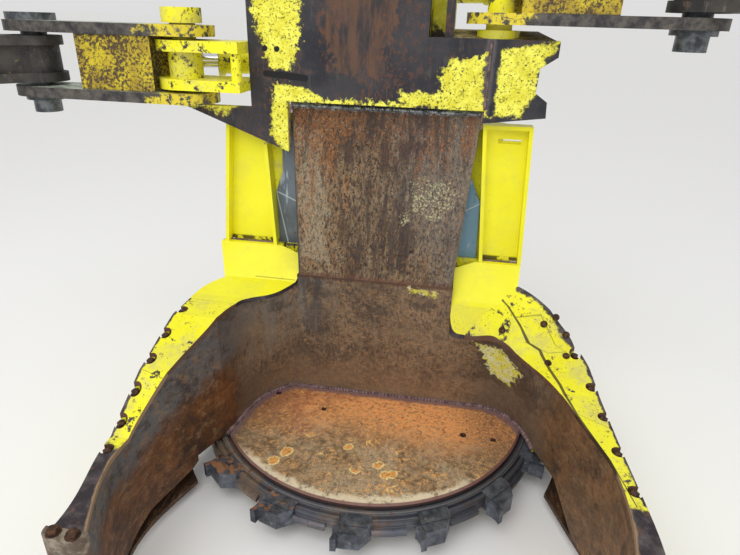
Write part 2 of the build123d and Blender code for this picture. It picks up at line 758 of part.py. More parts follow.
with BuildPart() as bracket_right:
    for z, h in bracket_right_levels:
        with BuildSketch(Plane.XY.offset(z)):
            with BuildLine():
                Polyline((spine_half, -15), (455, -15), (455, 75), (390, 130), (spine_half, 130), close=True)
            make_face()
        extrude(amount=h)
        with BuildSketch(Plane.XY.offset(z)):
            with Locations(arm_right_pivot):
                Circle(pin_radius)
        extrude(amount=h, mode=Mode.SUBTRACT)
save(bracket_right, "arm_bracket_right")

with BuildPart() as pin_right:
    with BuildSketch(Plane.XY.offset(tower_step - 40)):
        with Locations(arm_right_pivot):
            Circle(pin_radius)
    extrude(amount=sum(bracket_right_levels[1]) + 18 - tower_step + 40)
    for z, r, h in ((tower_step, 62, arm_right_low - tower_step - 15), (sum(bracket_right_levels[1]), 58, 18)):
        with BuildSketch(Plane.XY.offset(z)):
            with Locations(arm_right_pivot):
                Circle(r)
        extrude(amount=h)
save(pin_right, "arm_pin_right")


# Arms: side, pivot, elbow, z of lower plate, plate, z of upper plate
def arm_plan(pivot, elbow, pivot_radius, elbow_radius):
    """Plan of a plate round two pins."""
    angle = degrees(atan2(elbow[1] - pivot[1], elbow[0] - pivot[0]))
    reach = hypot(elbow[0] - pivot[0], elbow[1] - pivot[1])
    with BuildSketch() as plan:
        with Locations(Location((pivot[0], pivot[1], 0), (0, 0, angle))):
            Circle(pivot_radius)
            Polygon((0, -pivot_radius), (reach, -elbow_radius), (reach, elbow_radius), (0, pivot_radius),
                    align=None)
        with Locations(elbow):
            Circle(elbow_radius)
    return plan.sketch


arms = [
    ("left", arm_left_pivot, arm_left_elbow, arm_left_lever, arm_left_low, arm_left_plate, arm_left_high),
    ("right", arm_right_pivot, arm_right_elbow, arm_right_lever, arm_right_low, arm_right_plate, arm_right_high),
]
for side, pivot, elbow, lever, low, plate, high in arms:
    eye_low = (low + plate + high) / 2 - eye_height / 2
    eye_high = eye_low + eye_height
    with BuildPart() as arm:
        for z in (low, high):
            with BuildSketch(Plane.XY.offset(z)):
                add(arm_plan(pivot, elbow, 96, 82))
                with Locations(lever):
                    Circle(44)
                Polygon((pivot[0] - 90, pivot[1]), (lever[0] - 44, lever[1]), (lever[0] + 44, lever[1]),
                        (pivot[0] + 90, pivot[1]), align=None)
            extrude(amount=plate)
        for z, h in ((low + plate, eye_low - open_gap - low - plate), (eye_high + open_gap, high - eye_high - open_gap)):
            with BuildSketch(Plane.XY.offset(z)):
                with Locations(lever):
                    Circle(22)
            extrude(amount=h)
        with BuildSketch(Plane.XY.offset(low + plate)):
            add(arm_plan(pivot, elbow, 88, 76))
            with Locations(pivot):
                Circle(110, mode=Mode.SUBTRACT)
            with Locations(elbow):
                Circle(210, mode=Mode.SUBTRACT)
        extrude(amount=high - low - plate)
        with BuildSketch(Plane.XY.offset(low - 1)):
            with Locations(pivot):
                Circle(pin_radius + spindle_clearance)
            with Locations(elbow):
                Circle(pin_radius)
        extrude(amount=high + plate - low + 2, mode=Mode.SUBTRACT)
    save(arm, "arm_" + side)
    with BuildPart() as elbow_pin:
        with BuildSketch(Plane.XY.offset(low)):
            with Locations(elbow):
                Circle(pin_radius)
        extrude(amount=high + plate - low)
        with BuildSketch(Plane.XY.offset(high + plate)):
            with Locations(elbow):
                Circle(72)
        extrude(amount=22)
        for drop, radius in ((14, 60), (54, 42)):
            with BuildSketch(Plane.XY.offset(low - drop)):
                with Locations(elbow):
                    Circle(radius)
            extrude(amount=drop)
    save(elbow_pin, "elbow_pin_" + side)

claws = [
    ("left", arm_left_elbow, -1, arm_left_low + arm_left_plate + claw_gap, arm_left_high - claw_gap),
    ("right", arm_right_elbow, 1, arm_right_low + arm_right_plate + claw_gap, arm_right_high - claw_gap),
]
for side, elbow, out, low, high in claws:
    height = high - low
    ex, ey = elbow
    front = [(ex + out * x, ey + y) for x, y in ((-40, -70), (70, -215), (112, -420), (70, -640), (-60, -830))]
    rear = [(ex + out * x, ey + y) for x, y in ((76, -10), (180, -200), (218, -430), (150, -690), (-40, -850))]
    with BuildPart() as claw:
        for z in (low, high - claw_plate):
            with BuildSketch(Plane.XY.offset(z)):
                with Locations(elbow):
                    Circle(elbow_hub)
                add(plan_between(front, rear))
            extrude(amount=claw_plate)
        with BuildSketch(Plane.XY.offset(low + claw_plate)):
            with Locations(elbow):
                Circle(elbow_hub - 14)
            add(plan_between([(x + out * 22, y + 6) for x, y in front], [(x - out * 22, y + 6) for x, y in rear]))
        extrude(amount=height - 2 * claw_plate)
        with BuildSketch(Plane.YZ):
            with BuildLine():
                Polyline((ey + 120, low), (ey - 380, low), (ey - 900, low + 42), (ey - 900, high - 42),
                         (ey - 380, high), (ey + 120, high), close=True)
            make_face()
        extrude(amount=2000, both=True, mode=Mode.INTERSECT)
        with BuildSketch(Plane.XY.offset(low)):
            with Locations(elbow):
                Circle(pin_radius + spindle_clearance)
        extrude(amount=height, mode=Mode.SUBTRACT)
    save(claw, "claw_" + side)

# Arm cylinders: side, base pin, lever pin, middle height
cylinders = [
    ("left", cylinder_left_base, arm_left_lever, (arm_left_low + arm_left_plate + arm_left_high) / 2),
    ("right", cylinder_right_base, arm_right_lever, (arm_right_low + arm_right_plate + arm_right_high) / 2),
]
for side, foot, lever, mid in cylinders:
    angle = degrees(atan2(lever[1] - foot[1], lever[0] - foot[0]))
    reach = hypot(lever[0] - foot[0], lever[1] - foot[1])
    along = Plane(origin=(foot[0], foot[1], mid), x_dir=(0, 0, 1), z_dir=(lever[0] - foot[0], lever[1] - foot[1], 0))
    with BuildPart() as barrel:
        with BuildSketch(Plane.XY.offset(mid - 30)):
            with Locations(foot):
                Circle(44)
                Circle(20.1, mode=Mode.SUBTRACT)
        extrude(amount=60)
        with BuildSketch(along.offset(58)):
            Circle(barrel_radius)
        extrude(amount=reach - 58 - 90)
        with BuildSketch(along.offset(30)):
            Circle(29)
        extrude(amount=30)
        with BuildSketch(along.offset(reach - 90 - 22)):
            Circle(barrel_radius + 6)
        extrude(amount=22)
        with BuildSketch(along.offset(70)):
            Circle(barrel_bore)
        extrude(amount=reach, mode=Mode.SUBTRACT)
    save(barrel, "barrel_" + side)
    with BuildPart() as rod:
        with BuildSketch(Plane.XY.offset(mid - eye_height / 2)):
            with Locations(lever):
                Circle(eye_radius)
        extrude(amount=eye_height)
        with BuildSketch(along.offset(80)):
            Circle(barrel_bore - 0.5)
        extrude(amount=24)
        with BuildSketch(along.offset(100)):
            Circle(rod_radius)
        extrude(amount=reach - 100 - eye_radius + 6)
    save(rod, "rod_" + side)
    with BuildPart() as lug:
        for z in (mid - lug_half - lug_plate, mid + lug_half):
            with BuildSketch(Plane.XY.offset(z)):
                with Locations(foot):
                    Circle(46)
                Polygon((foot[0] - 46, foot[1]), (foot[0] + 46, foot[1]), (foot[0] + 64, back_depth), (foot[0] - 46, back_depth),
                        align=None)
            extrude(amount=lug_plate)
        with BuildSketch(Plane.XY.offset(mid - lug_half)):
            with Locations(foot):
                Circle(20)
        extrude(amount=2 * lug_half)
    save(lug, "cylinder_lug_" + side)
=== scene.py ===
from math import cos, hypot, radians, sin

import bpy
from mathutils import Matrix, Vector


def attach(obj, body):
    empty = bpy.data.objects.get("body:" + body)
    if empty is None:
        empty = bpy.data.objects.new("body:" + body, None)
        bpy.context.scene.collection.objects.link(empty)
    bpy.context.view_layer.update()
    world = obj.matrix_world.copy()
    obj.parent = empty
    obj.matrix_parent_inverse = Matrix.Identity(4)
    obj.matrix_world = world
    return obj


# Disc saw felling head, parked on its skids with both grab arms open.
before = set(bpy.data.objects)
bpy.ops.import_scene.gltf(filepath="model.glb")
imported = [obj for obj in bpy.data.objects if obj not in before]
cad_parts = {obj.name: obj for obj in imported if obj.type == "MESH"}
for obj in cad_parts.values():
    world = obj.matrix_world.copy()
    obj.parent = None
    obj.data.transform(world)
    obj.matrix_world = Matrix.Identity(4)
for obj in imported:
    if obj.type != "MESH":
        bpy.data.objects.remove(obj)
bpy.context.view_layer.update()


# Saw disc and hub
# A thick steel disc with a raised rim, turned and scoured bright by sawdust.
# The hub is bolted under its middle and runs on the spindle.
class Value:
    """A socket of a finish, so that sums on it read as plain arithmetic."""

    def __init__(self, finish, socket):
        self.finish = finish
        self.socket = socket

    def maths(self, operation, *others):
        terms = dict(enumerate((self, *others)))
        return self.finish.node("ShaderNodeMath", {"operation": operation}, terms)

    def __add__(self, other):
        return self.maths("ADD", other)

    def __sub__(self, other):
        return self.maths("SUBTRACT", other)

    def __rsub__(self, other):
        return self.finish.node("ShaderNodeMath", {"operation": "SUBTRACT"}, {0: other, 1: self})

    def __mul__(self, other):
        return self.maths("MULTIPLY", other)

    def __abs__(self):
        return self.maths("ABSOLUTE")

    __radd__ = __add__
    __rmul__ = __mul__


class Finish:
    """A painted, worn or rusted surface. x, y, z are places on the head in metres, up is 1 on top faces."""

    def __init__(self, name):
        self.material = bpy.data.materials.new(name)
        self.material.use_nodes = True
        self.tree = self.material.node_tree
        self.shader = self.tree.nodes["Principled BSDF"]
        self.place = self.node("ShaderNodeTexCoord", out="Object")
        self.x = self.node("ShaderNodeSeparateXYZ", sockets={0: self.place}, out="X")
        self.y = Value(self, self.x.socket.node.outputs["Y"])
        self.z = Value(self, self.x.socket.node.outputs["Z"])
        normal = self.node("ShaderNodeNewGeometry", out="Normal")
        self.up = self.node("ShaderNodeSeparateXYZ", sockets={0: normal}, out="Z")

    def node(self, kind, settings={}, sockets={}, out=0):
        made = self.tree.nodes.new(kind)
        for name, setting in settings.items():
            setattr(made, name, setting)
        for name, value in sockets.items():
            self.feed(made.inputs[name], value)
        return Value(self, made.outputs[out])

    def feed(self, socket, value):
        if isinstance(value, Value):
            self.tree.links.new(value.socket, socket)
        elif socket.type == "RGBA":
            socket.default_value = (*value, 1)
        else:
            socket.default_value = value

    def grain(self, scale, detail=5.0, roughness=0.6, stretch=(1, 1, 1), warp=0.0):
        at = self.node("ShaderNodeMapping", sockets={0: self.place, "Scale": stretch})
        return self.node("ShaderNodeTexNoise", sockets={"Vector": at, "Scale": scale, "Detail": detail,
                                                        "Roughness": roughness, "Distortion": warp})

    def step(self, value, low, high):
        return self.node("ShaderNodeMapRange", {"interpolation_type": "SMOOTHSTEP"},
                         {"Value": value, "From Min": low, "From Max": high})

    def blend(self, mask, under, over):
        return self.node("ShaderNodeMix", {"data_type": "RGBA"}, {0: mask, 6: under, 7: over}, out=2)

    def mottle(self, under, over, between, *grain):
        """Two colours mixed by a grain as it rises between two levels."""
        return self.blend(self.step(self.grain(*grain), *between), under, over)

    def fleck(self, under, over, amount, between, *grain):
        """A colour in flecks over another, where a grain rises between two levels."""
        return self.blend(self.step(self.grain(*grain), *between) * amount, under, over)

    def fray(self, width, *grain):
        """A wander as wide as width about nought, which makes an edge ragged."""
        return (self.grain(*grain) - 0.5) * width

    def either(self, first, *others):
        """Where any of the masks is."""
        for other in others:
            first = first.maths("MAXIMUM", other)
        return first

    def nearest(self, first, *others):
        """The smallest of some distances."""
        for other in others:
            first = first.maths("MINIMUM", other)
        return first

    def patch(self, across, up, corners, raggedness, scale):
        """A ragged patch inside corners that go round it anticlockwise, in metres."""
        depths = []
        for (x0, z0), (x1, z1) in zip(corners, corners[1:] + corners[:1]):
            run = hypot(x1 - x0, z1 - z0)
            depths.append((up - z0) * ((x1 - x0) / run) - (across - x0) * ((z1 - z0) / run))
        frayed = self.nearest(*depths) + self.fray(raggedness * 3, scale, 8.0, 0.65)
        return self.step(frayed, -0.004, 0.006)

    def near(self, across, along, *lines):
        """Distance in metres to the nearest of some lines, each given by its points."""
        distances = []
        for (x0, y0), (x1, y1) in [leg for points in lines for leg in zip(points, points[1:])]:
            run = hypot(x1 - x0, y1 - y0)
            ux, uy = (x1 - x0) / run, (y1 - y0) / run
            east, north = across - x0, along - y0
            ahead = east * ux + north * uy
            aside = north * ux - east * uy
            beyond = self.either(-1 * ahead, ahead - run, 0.0)
            distances.append((aside * aside + beyond * beyond).maths("SQRT"))
        return self.nearest(*distances)

    def lay(self, colour, roughness, metallic, relief=None, depth=0.001):
        """Lays a colour on the surface, and a relief of this depth in metres."""
        self.shader.inputs["Specular IOR Level"].default_value = 0.3
        self.feed(self.shader.inputs["Base Color"], colour)
        self.feed(self.shader.inputs["Roughness"], roughness)
        self.feed(self.shader.inputs["Metallic"], metallic)
        if relief:
            bump = self.node("ShaderNodeBump", sockets={"Height": relief, "Distance": depth, "Strength": 0.7},
                             out="Normal")
            self.feed(self.shader.inputs["Normal"], bump)


def dress(finish, *names):
    """Gives the head's solids of these names this finish."""
    for name in names:
        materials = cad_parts[name].data.materials
        materials.clear()
        materials.append(finish.material)


scoured = Finish("scoured_saw_steel")
radius = (scoured.x * scoured.x + scoured.y * scoured.y).maths("SQRT")
rings = scoured.node("ShaderNodeCombineXYZ", sockets={0: radius * 60, 1: scoured.z * 60})
turning = scoured.node("ShaderNodeTexNoise", sockets={"Vector": rings, "Scale": 5.0, "Detail": 6.0})
browned = scoured.step(scoured.grain(3.0, 5.0, 0.6) - scoured.x * 0.5, 0.46, 0.66)
steel = scoured.blend(scoured.grain(12, 7.0, 0.65), (0.06, 0.064, 0.08), (0.17, 0.18, 0.22))
steel = scoured.blend(browned * scoured.step(scoured.grain(30, 8.0, 0.7), 0.3, 0.6), steel, (0.3, 0.2, 0.12))
steel = scoured.blend(scoured.step(turning, 0.5, 0.72) * 0.7, steel, (0.4, 0.39, 0.4))
steel = scoured.fleck(steel, (0.2, 0.085, 0.03), 0.7, (0.56, 0.68), 38, 7.0)
steel = scoured.fleck(steel, (0.015, 0.014, 0.015), 0.8, (0.6, 0.68), 60, 8.0, 0.7)
steel = scoured.blend(scoured.step(scoured.x, 0.1, 0.5) * 0.5, steel, (0.03, 0.028, 0.028))
scoured.lay(steel, 0.36 + scoured.grain(30) * 0.35, 0.55, turning + scoured.grain(60) * 0.9, 0.0015)
dress(scoured, "saw_disc", "saw_hub")


# Teeth
# Forged holders bolted round the rim, each with a square hard bit on its leading side.
# Their tops are blued by heat and catch rust between shifts.
toothed = Finish("blued_tooth_steel")
dull = toothed.mottle((0.045, 0.05, 0.064), (0.16, 0.175, 0.21), (0.3, 0.7), 26, 6.0)
rust = toothed.step(toothed.grain(36, 9.0, 0.75) - toothed.x * 0.24, 0.57, 0.65)
rust = rust * toothed.step(toothed.up, 0.1, 0.7)
worn = toothed.blend(rust * 0.8, dull, (0.34, 0.15, 0.05))
worn = toothed.fleck(worn, (0.28, 0.27, 0.26), 0.7, (0.58, 0.68), 48, 8.0, 0.7)
worn = toothed.fleck(worn, (0.016, 0.015, 0.016), 0.8, (0.6, 0.7), 34, 8.0, 0.7)
toothed.lay(worn, 0.4 + rust * 0.35, 0.5 - rust * 0.35, toothed.grain(55, 8.0, 0.7), 0.003)
dress(toothed, "tooth_holders", "tooth_bits")


# Butt plate and deck
# The stem rests on the butt plate, a thick plate that keeps it off the turning disc.
# It is bare: rusty where it stays damp at the back, dusty and pale where stems slide.
deck_top = 0.15
pocket_foot = [(-0.47, -0.339), (-0.456, -0.269), (-0.441, -0.179), (-0.4, -0.088), (-0.318, -0.015),
               (0.414, -0.015), (0.493, -0.04), (0.548, -0.096), (0.581, -0.168), (0.594, -0.222)]
butted = Finish("rusty_butt_plate")
drift = butted.fray(0.3, 4, 6.0)
grit = butted.grain(150, 7.0, 0.75)
mid = butted.grain(42, 9.0, 0.74)
back = butted.step(butted.y + drift, -0.34, -0.12)
plate = butted.blend(butted.step(mid, 0.36, 0.62), (0.17, 0.108, 0.056), (0.54, 0.34, 0.17))
pale = butted.step(butted.grain(7, 8.0, 0.7) - butted.y * 0.3, 0.54, 0.7)
plate = butted.blend(pale * butted.step(grit, 0.4, 0.6) * 0.75, plate, (0.66, 0.54, 0.36))
fibre = butted.grain(60, 9.0, 0.75, (0.7, 1, 1), 0.4)
plate = butted.blend(back * butted.step(fibre, 0.34, 0.52), plate, (0.95, 0.41, 0.14))
redder = butted.step(butted.grain(6, 7.0, 0.65) - butted.x * 0.5 + butted.y * 1.1, 0.36, 0.52)
plate = butted.blend(redder * butted.step(fibre, 0.38, 0.58) * 0.85, plate, (0.34, 0.115, 0.06))
plate = butted.fleck(plate, (0.4, 0.12, 0.035), back * 0.8, (0.54, 0.62), 95, 7.0, 0.72)
flecks = butted.step(butted.grain(85, 8.0, 0.72) + butted.grain(11, 5.0) * 0.4, 0.76, 0.81)
plate = butted.blend(flecks * 0.85, plate, (0.98, 0.5, 0.16))
shift = butted.node("ShaderNodeTexNoise", sockets={"Vector": butted.place, "Scale": 55.0}, out=1)
shift = butted.node("ShaderNodeVectorMath", {"operation": "SCALE"}, {0: shift, "Scale": 0.022})
bent = butted.node("ShaderNodeVectorMath", {"operation": "ADD"}, {0: butted.place, 1: shift})
cell = butted.node("ShaderNodeTexVoronoi", sockets={"Vector": bent, "Scale": 15.0})
cell = cell + butted.fray(0.6, 10, 4.0)
spots = butted.patch(butted.x, butted.y, [(-0.3, -0.52), (0.16, -0.52), (0.16, -0.3), (-0.3, -0.3)], 0.07, 8)
spots = spots * butted.step(butted.grain(13, 6.0), 0.42, 0.5)
rings = (1 - butted.step(cell, 0.26, 0.3)) * spots
plate = butted.blend(rings, plate, (0.95, 0.44, 0.12))
plate = butted.blend(rings * butted.step(cell, 0.18, 0.23), plate, (1.0, 0.8, 0.34))
plate = butted.fleck(plate, (0.16, 0.075, 0.035), 0.75, (0.55, 0.62), 75, 9.0, 0.76)
plate = butted.fleck(plate, (0.85, 0.72, 0.52), 0.5, (0.6, 0.68), 190, 5.0, 0.7)
# Painted shade: the plate is darkened towards its left and right sides, beside the pocket walls.
painted_flank_shade = butted.step(abs(butted.x - 0.03) + butted.y * 0.3 + drift * 0.5, 0.22, 0.4)
plate = butted.blend(painted_flank_shade * butted.step(grit, 0.36, 0.56) * 0.7, plate, (0.16, 0.098, 0.055))
pores = butted.step(butted.grain(230, 5.0, 0.8), 0.5, 0.56) * (1 - back)
plate = butted.blend(pores * 0.5, plate, (0.13, 0.09, 0.06))
reach = (butted.x * butted.x + butted.y * butted.y).maths("SQRT")
crescent = butted.step(reach + butted.fray(0.08, 14, 7.0, 0.65), 0.535, 0.556)
crescent = crescent * butted.step(-1 * butted.y - abs(butted.x) * 0.5, 0.16, 0.3)
crescent = crescent * butted.step(mid, 0.34, 0.5)
plate = butted.blend(crescent * 0.85, plate, (0.88, 0.76, 0.54))
rim_dirt = butted.step(reach, 0.5665, 0.571)
plate = butted.blend(rim_dirt * 0.9, plate, (0.19, 0.08, 0.075))
seam = butted.near(butted.x, butted.y, pocket_foot)
soot = 1 - butted.step(seam + butted.fray(0.02, 30, 7.0), 0.02, 0.036)
plate = butted.blend(soot * 0.85, plate, (0.21, 0.13, 0.135))
# Painted shadow: the plate's side faces are painted near black, as the shade in the gap over the disc's rim.
rim = 1 - butted.step(butted.up, 0.3, 0.7)
plate = butted.blend(rim * 0.85, plate, (0.045, 0.026, 0.025))
butted.lay(plate, 0.58 + butted.grain(25) * 0.3, 0.05, mid + grit * 0.5 + flecks * 0.2 - soot * 0.3, 0.004)
dress(butted, "butt_plate")

decked = Finish("dusty_deck_steel")
soil = decked.step(decked.grain(7, 8.0, 0.7), 0.4, 0.62)
floor_steel = decked.blend(soil, (0.07, 0.055, 0.045), (0.2, 0.15, 0.1))
paint_left = decked.step(decked.grain(4, 9.0, 0.7), 0.5, 0.55)
floor_steel = decked.blend(paint_left * 0.9, floor_steel, (0.66, 0.56, 0.05))
floor_steel = decked.fleck(floor_steel, (0.06, 0.035, 0.02), 0.8, (0.58, 0.66), 60, 8.0, 0.7)
decked.lay(floor_steel, 0.75, 0.1, decked.grain(40, 8.0, 0.7) + paint_left * 0.4, 0.003)
dress(decked, "deck_plate", "base_plate", "skids", "saw_guard", "spindle", "deck_gussets")


# Welds
# Every seam is run by hand in overlapping ripples, which stay as a rough dark bead.
# They join the pocket wall to the butt plate, the tower to its wings and the spine to the deck.
# The one over the head of the wear plate has pale drops, a painted highlight of the plate's lit top edge.
def track(points, pitch):
    """Places every pitch along a smooth curve through points, each turned the way it runs."""
    stations = [Vector(point) for point in points]
    places = []
    befores, afters = [stations[0], *stations], [*stations[2:], stations[-1]]
    for before, start, end, after in zip(befores, stations, stations[1:], afters):
        count = max(1, round((end - start).length / pitch))
        for i in range(count):
            t = i / count
            place = (2 * start + (end - before) * t + (2 * before - 5 * start + 4 * end - after) * t * t
                     + (3 * start - before - 3 * end + after) * t ** 3) / 2
            turned = (end - start).to_track_quat("X", "Z").to_matrix().to_4x4()
            places.append(Matrix.Translation(place) @ turned)
    return places


def fresh(add, **settings):
    """A new primitive with nothing else selected."""
    bpy.ops.object.select_all(action="DESELECT")
    add(**settings)
    return bpy.context.object


def ridges(mesh, chosen):
    """Selects the edges whose two ends pass a test, in edit mode."""
    bpy.ops.object.mode_set(mode="EDIT")
    bpy.ops.mesh.select_all(action="DESELECT")
    bpy.ops.object.mode_set(mode="OBJECT")
    for vertex in mesh.vertices:
        vertex.select = bool(chosen(vertex.co))
    for edge in mesh.edges:
        edge.select = all(mesh.vertices[end].select for end in edge.vertices)
    for face in mesh.polygons:
        face.select = all(mesh.vertices[corner].select for corner in face.vertices)
    bpy.ops.object.mode_set(mode="EDIT")


def repeat(pattern, places):
    """Copies a pattern, each with its own mesh, to places and joins them."""
    copies = []
    for place in places:
        copy = pattern.copy()
        copy.data = pattern.data.copy()
        copy.data.transform(place)
        bpy.context.scene.collection.objects.link(copy)
        copies.append(copy)
    bpy.ops.object.select_all(action="DESELECT")
    for copy in copies:
        copy.select_set(True)
    bpy.context.view_layer.objects.active = copies[0]
    bpy.ops.object.join()
    bpy.data.objects.remove(pattern)
    return bpy.context.object


def weld_bead(runs, size):
    """Overlapping ripples, each a flattened drop that leans on the one before, along runs of points."""
    ripple = fresh(bpy.ops.mesh.primitive_uv_sphere_add, segments=8, ring_count=5, radius=size)
    bpy.ops.object.mode_set(mode="EDIT")
    bpy.ops.mesh.select_all(action="SELECT")
    bpy.ops.transform.resize(value=(0.7, 1.0, 0.75))
    bpy.ops.object.mode_set(mode="OBJECT")
    ridges(ripple.data, lambda co: co.x > size * 0.2)
    bpy.ops.transform.translate(value=(0, 0, -size * 0.16))
    bpy.ops.object.mode_set(mode="OBJECT")
    bpy.ops.object.shade_smooth()
    return repeat(ripple, [place for run in runs for place in track(run, size * 0.85)])


def settle(piece, name, finish, body):
    """Names a finished piece, gives it its finish and lets it ride on its body."""
    bpy.ops.object.select_all(action="DESELECT")
    piece.select_set(True)
    bpy.context.view_layer.objects.active = piece
    bpy.ops.object.transform_apply(location=True, rotation=True, scale=True)
    piece.name = name
    piece.data.name = name
    piece.data.materials.clear()
    piece.data.materials.append(finish.material)
    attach(piece, body)


welded = Finish("rough_weld_steel")
bead_tone = welded.mottle((0.1, 0.06, 0.062), (0.3, 0.2, 0.2), (0.36, 0.64), 40, 8.0, 0.7)
welded.lay(bead_tone, 0.55, 0.3, welded.grain(160, 6.0), 0.001)
foot_run = [(x, y, deck_top + 0.001) for x, y in pocket_foot]
settle(weld_bead([foot_run[:5], foot_run[4:6], foot_run[5:]], 0.0125), "pocket_weld", welded,
       "head_frame")

column_runs = [[(-0.548, 0.012, 0.746), (-0.382, 0.012, 0.746)],
               [(0.362, 0.012, 0.746), (0.477, 0.012, 0.746)],
               [(0.311, -0.046, 1.256), (0.311, -0.046, 1.445)],
               [(-0.302, -0.03, 1.1), (-0.302, -0.03, 1.21)],
               [(-0.298, -0.031, 1.216), (-0.288, -0.034, 1.252)],
               [(0.3085, -0.03, 1.196), (0.3085, -0.03, 1.252)]]
settle(weld_bead(column_runs, 0.0055), "tower_weld", welded, "head_frame")

seam_height = deck_top + 0.002
spine_runs = [[(side * 0.2, start, seam_height), (side * 0.2, end, seam_height)]
              for start, end in ((0.03, 0.245), (0.27, 0.375), (0.4, 0.53)) for side in (-1, 1)]
spine_runs += [[(side * 0.21, y, seam_height), (side * 0.41, y, seam_height)]
               for side in (-1, 1) for y in (0.232, 0.252, 0.362, 0.382)]
spine_runs += [[(x, 0.151, 1.2), (x, 0.151, 1.43)] for x in (-0.09, -0.06, 0.06, 0.09)]
settle(weld_bead(spine_runs, 0.008), "spine_weld", welded, "head_frame")

bright = Finish("weld_steel_painted_highlight")
# Painted highlight: pale blue-grey drops along the lit top edge of the wear plate.
drops = bright.step(bright.grain(60, 7.0, 0.7), 0.42, 0.58)
bright.lay(bright.blend(drops, (0.08, 0.09, 0.1), (0.42, 0.46, 0.49)), 0.35, 0.4, bright.grain(150, 6.0), 0.001)
settle(weld_bead([[(-0.296, -0.006, 1.236), (0.302, -0.006, 1.236)]], 0.0085), "wear_plate_weld", bright,
       "head_frame")


# Pocket wall and inner walls of the horns
# One thick sheet rolled round the back of the pocket, leaning forward up to the crease, with the two inner
# walls welded on. Stems have rubbed it to brown steel, grey where they bear on it, and left rags of paint.
def scraped(look, border, slope, grey, dark, red, flecks):
    """Colour of a horn's wall, grey above a border that falls towards the mouth and rusty under it."""
    drift = look.fray(0.24, 5, 7.0, 0.65)
    worn = look.step(look.z - look.y * slope + drift, border - 0.035, border + 0.035)
    scrape = look.grain(70, 8.0, 0.76, (1, 0.14, 0.5))
    wall = look.mottle(red, dark, (0.38, 0.6), 11, 9.0, 0.75)
    wall = look.fleck(wall, (0.16, 0.062, 0.022), 0.6, (0.48, 0.6), 60, 8.0, 0.75)
    wall = look.blend(worn * look.step(look.grain(26, 8.0, 0.72), 0.3, 0.5) * 0.9, wall, grey)
    wall = look.fleck(wall, (0.035, 0.026, 0.024), 0.6, (0.52, 0.62), 9, 9.0, 0.75)
    wall = look.blend(look.step(scrape, 0.53, 0.6) * 0.5, wall, (0.3, 0.19, 0.1))
    wall = look.blend(look.step(1 - scrape, 0.54, 0.6) * 0.5, wall, (0.04, 0.026, 0.02))
    wall = look.fleck(wall, (0.4, 0.22, 0.08), flecks, (0.58, 0.65), 90, 8.0, 0.75)
    return look.fleck(wall, (0.015, 0.012, 0.012), 0.7, (0.57, 0.65), 75, 7.0, 0.75)


crease_height = 0.678
rubbed = Finish("rubbed_pocket_steel")
wide = rubbed.grain(3.2, 6.0, 0.6, (1, 1, 0.6))
sheet = rubbed.blend(rubbed.step(wide, 0.3, 0.7), (0.2, 0.134, 0.084), (0.37, 0.26, 0.165))
sheet = rubbed.fleck(sheet, (0.15, 0.1, 0.064), 0.65, (0.42, 0.58), 46, 9.0, 0.78)
weave = rubbed.grain(120, 7.0, 0.78, (1, 1, 0.4))
sheet = rubbed.blend(rubbed.step(weave, 0.49, 0.57) * 0.75, sheet, (0.08, 0.054, 0.038))
sheet = rubbed.fleck(sheet, (0.5, 0.27, 0.11), 0.75, (0.54, 0.61), 130, 7.0, 0.78, (0.4, 1, 1))
streak = rubbed.grain(30, 6.0, 0.6, (1, 1, 0.12))
# Lighter grey towards the upper left: partly the rubbed steel's grey, partly a painted highlight.
cool = rubbed.step(-1 * rubbed.x + (rubbed.z - 0.45) * 0.9 + rubbed.fray(0.5, 6, 7.0), 0.2, 0.5)
sheet = rubbed.blend(cool * rubbed.step(streak, 0.34, 0.6) * 0.8, sheet, (0.2, 0.185, 0.16))
smear_corners = [(-0.25, 0.44), (-0.19, 0.44), (-0.18, 0.66), (-0.28, 0.66)]
smear = rubbed.patch(rubbed.x, rubbed.z, smear_corners, 0.07, 8)
sheet = rubbed.blend(smear * rubbed.step(streak, 0.3, 0.5) * 0.6, sheet, (0.07, 0.072, 0.08))
sheet = rubbed.fleck(sheet, (0.075, 0.05, 0.038), 0.6, (0.53, 0.63), 9, 9.0, 0.75)
blotch = rubbed.grain(6, 7.0, 0.7, (1, 1, 1.6), 0.5)
sheet = rubbed.blend(rubbed.step(blotch + (weave - 0.5) * 0.4, 0.54, 0.62) * 0.55, sheet, (0.07, 0.058, 0.05))
sheet = rubbed.blend(rubbed.step(1 - blotch + (weave - 0.5) * 0.4, 0.56, 0.64) * 0.4, sheet, (0.34, 0.24, 0.14))
low_rust = rubbed.step(0.34 - rubbed.z + rubbed.fray(0.4, 7, 7.0), 0.0, 0.2)
sheet = rubbed.blend(low_rust * rubbed.step(weave, 0.4, 0.56) * 0.55, sheet, (0.38, 0.28, 0.17))
sheet = rubbed.blend(rubbed.step(streak, 0.56, 0.74) * 0.35, sheet, (0.42, 0.33, 0.22))
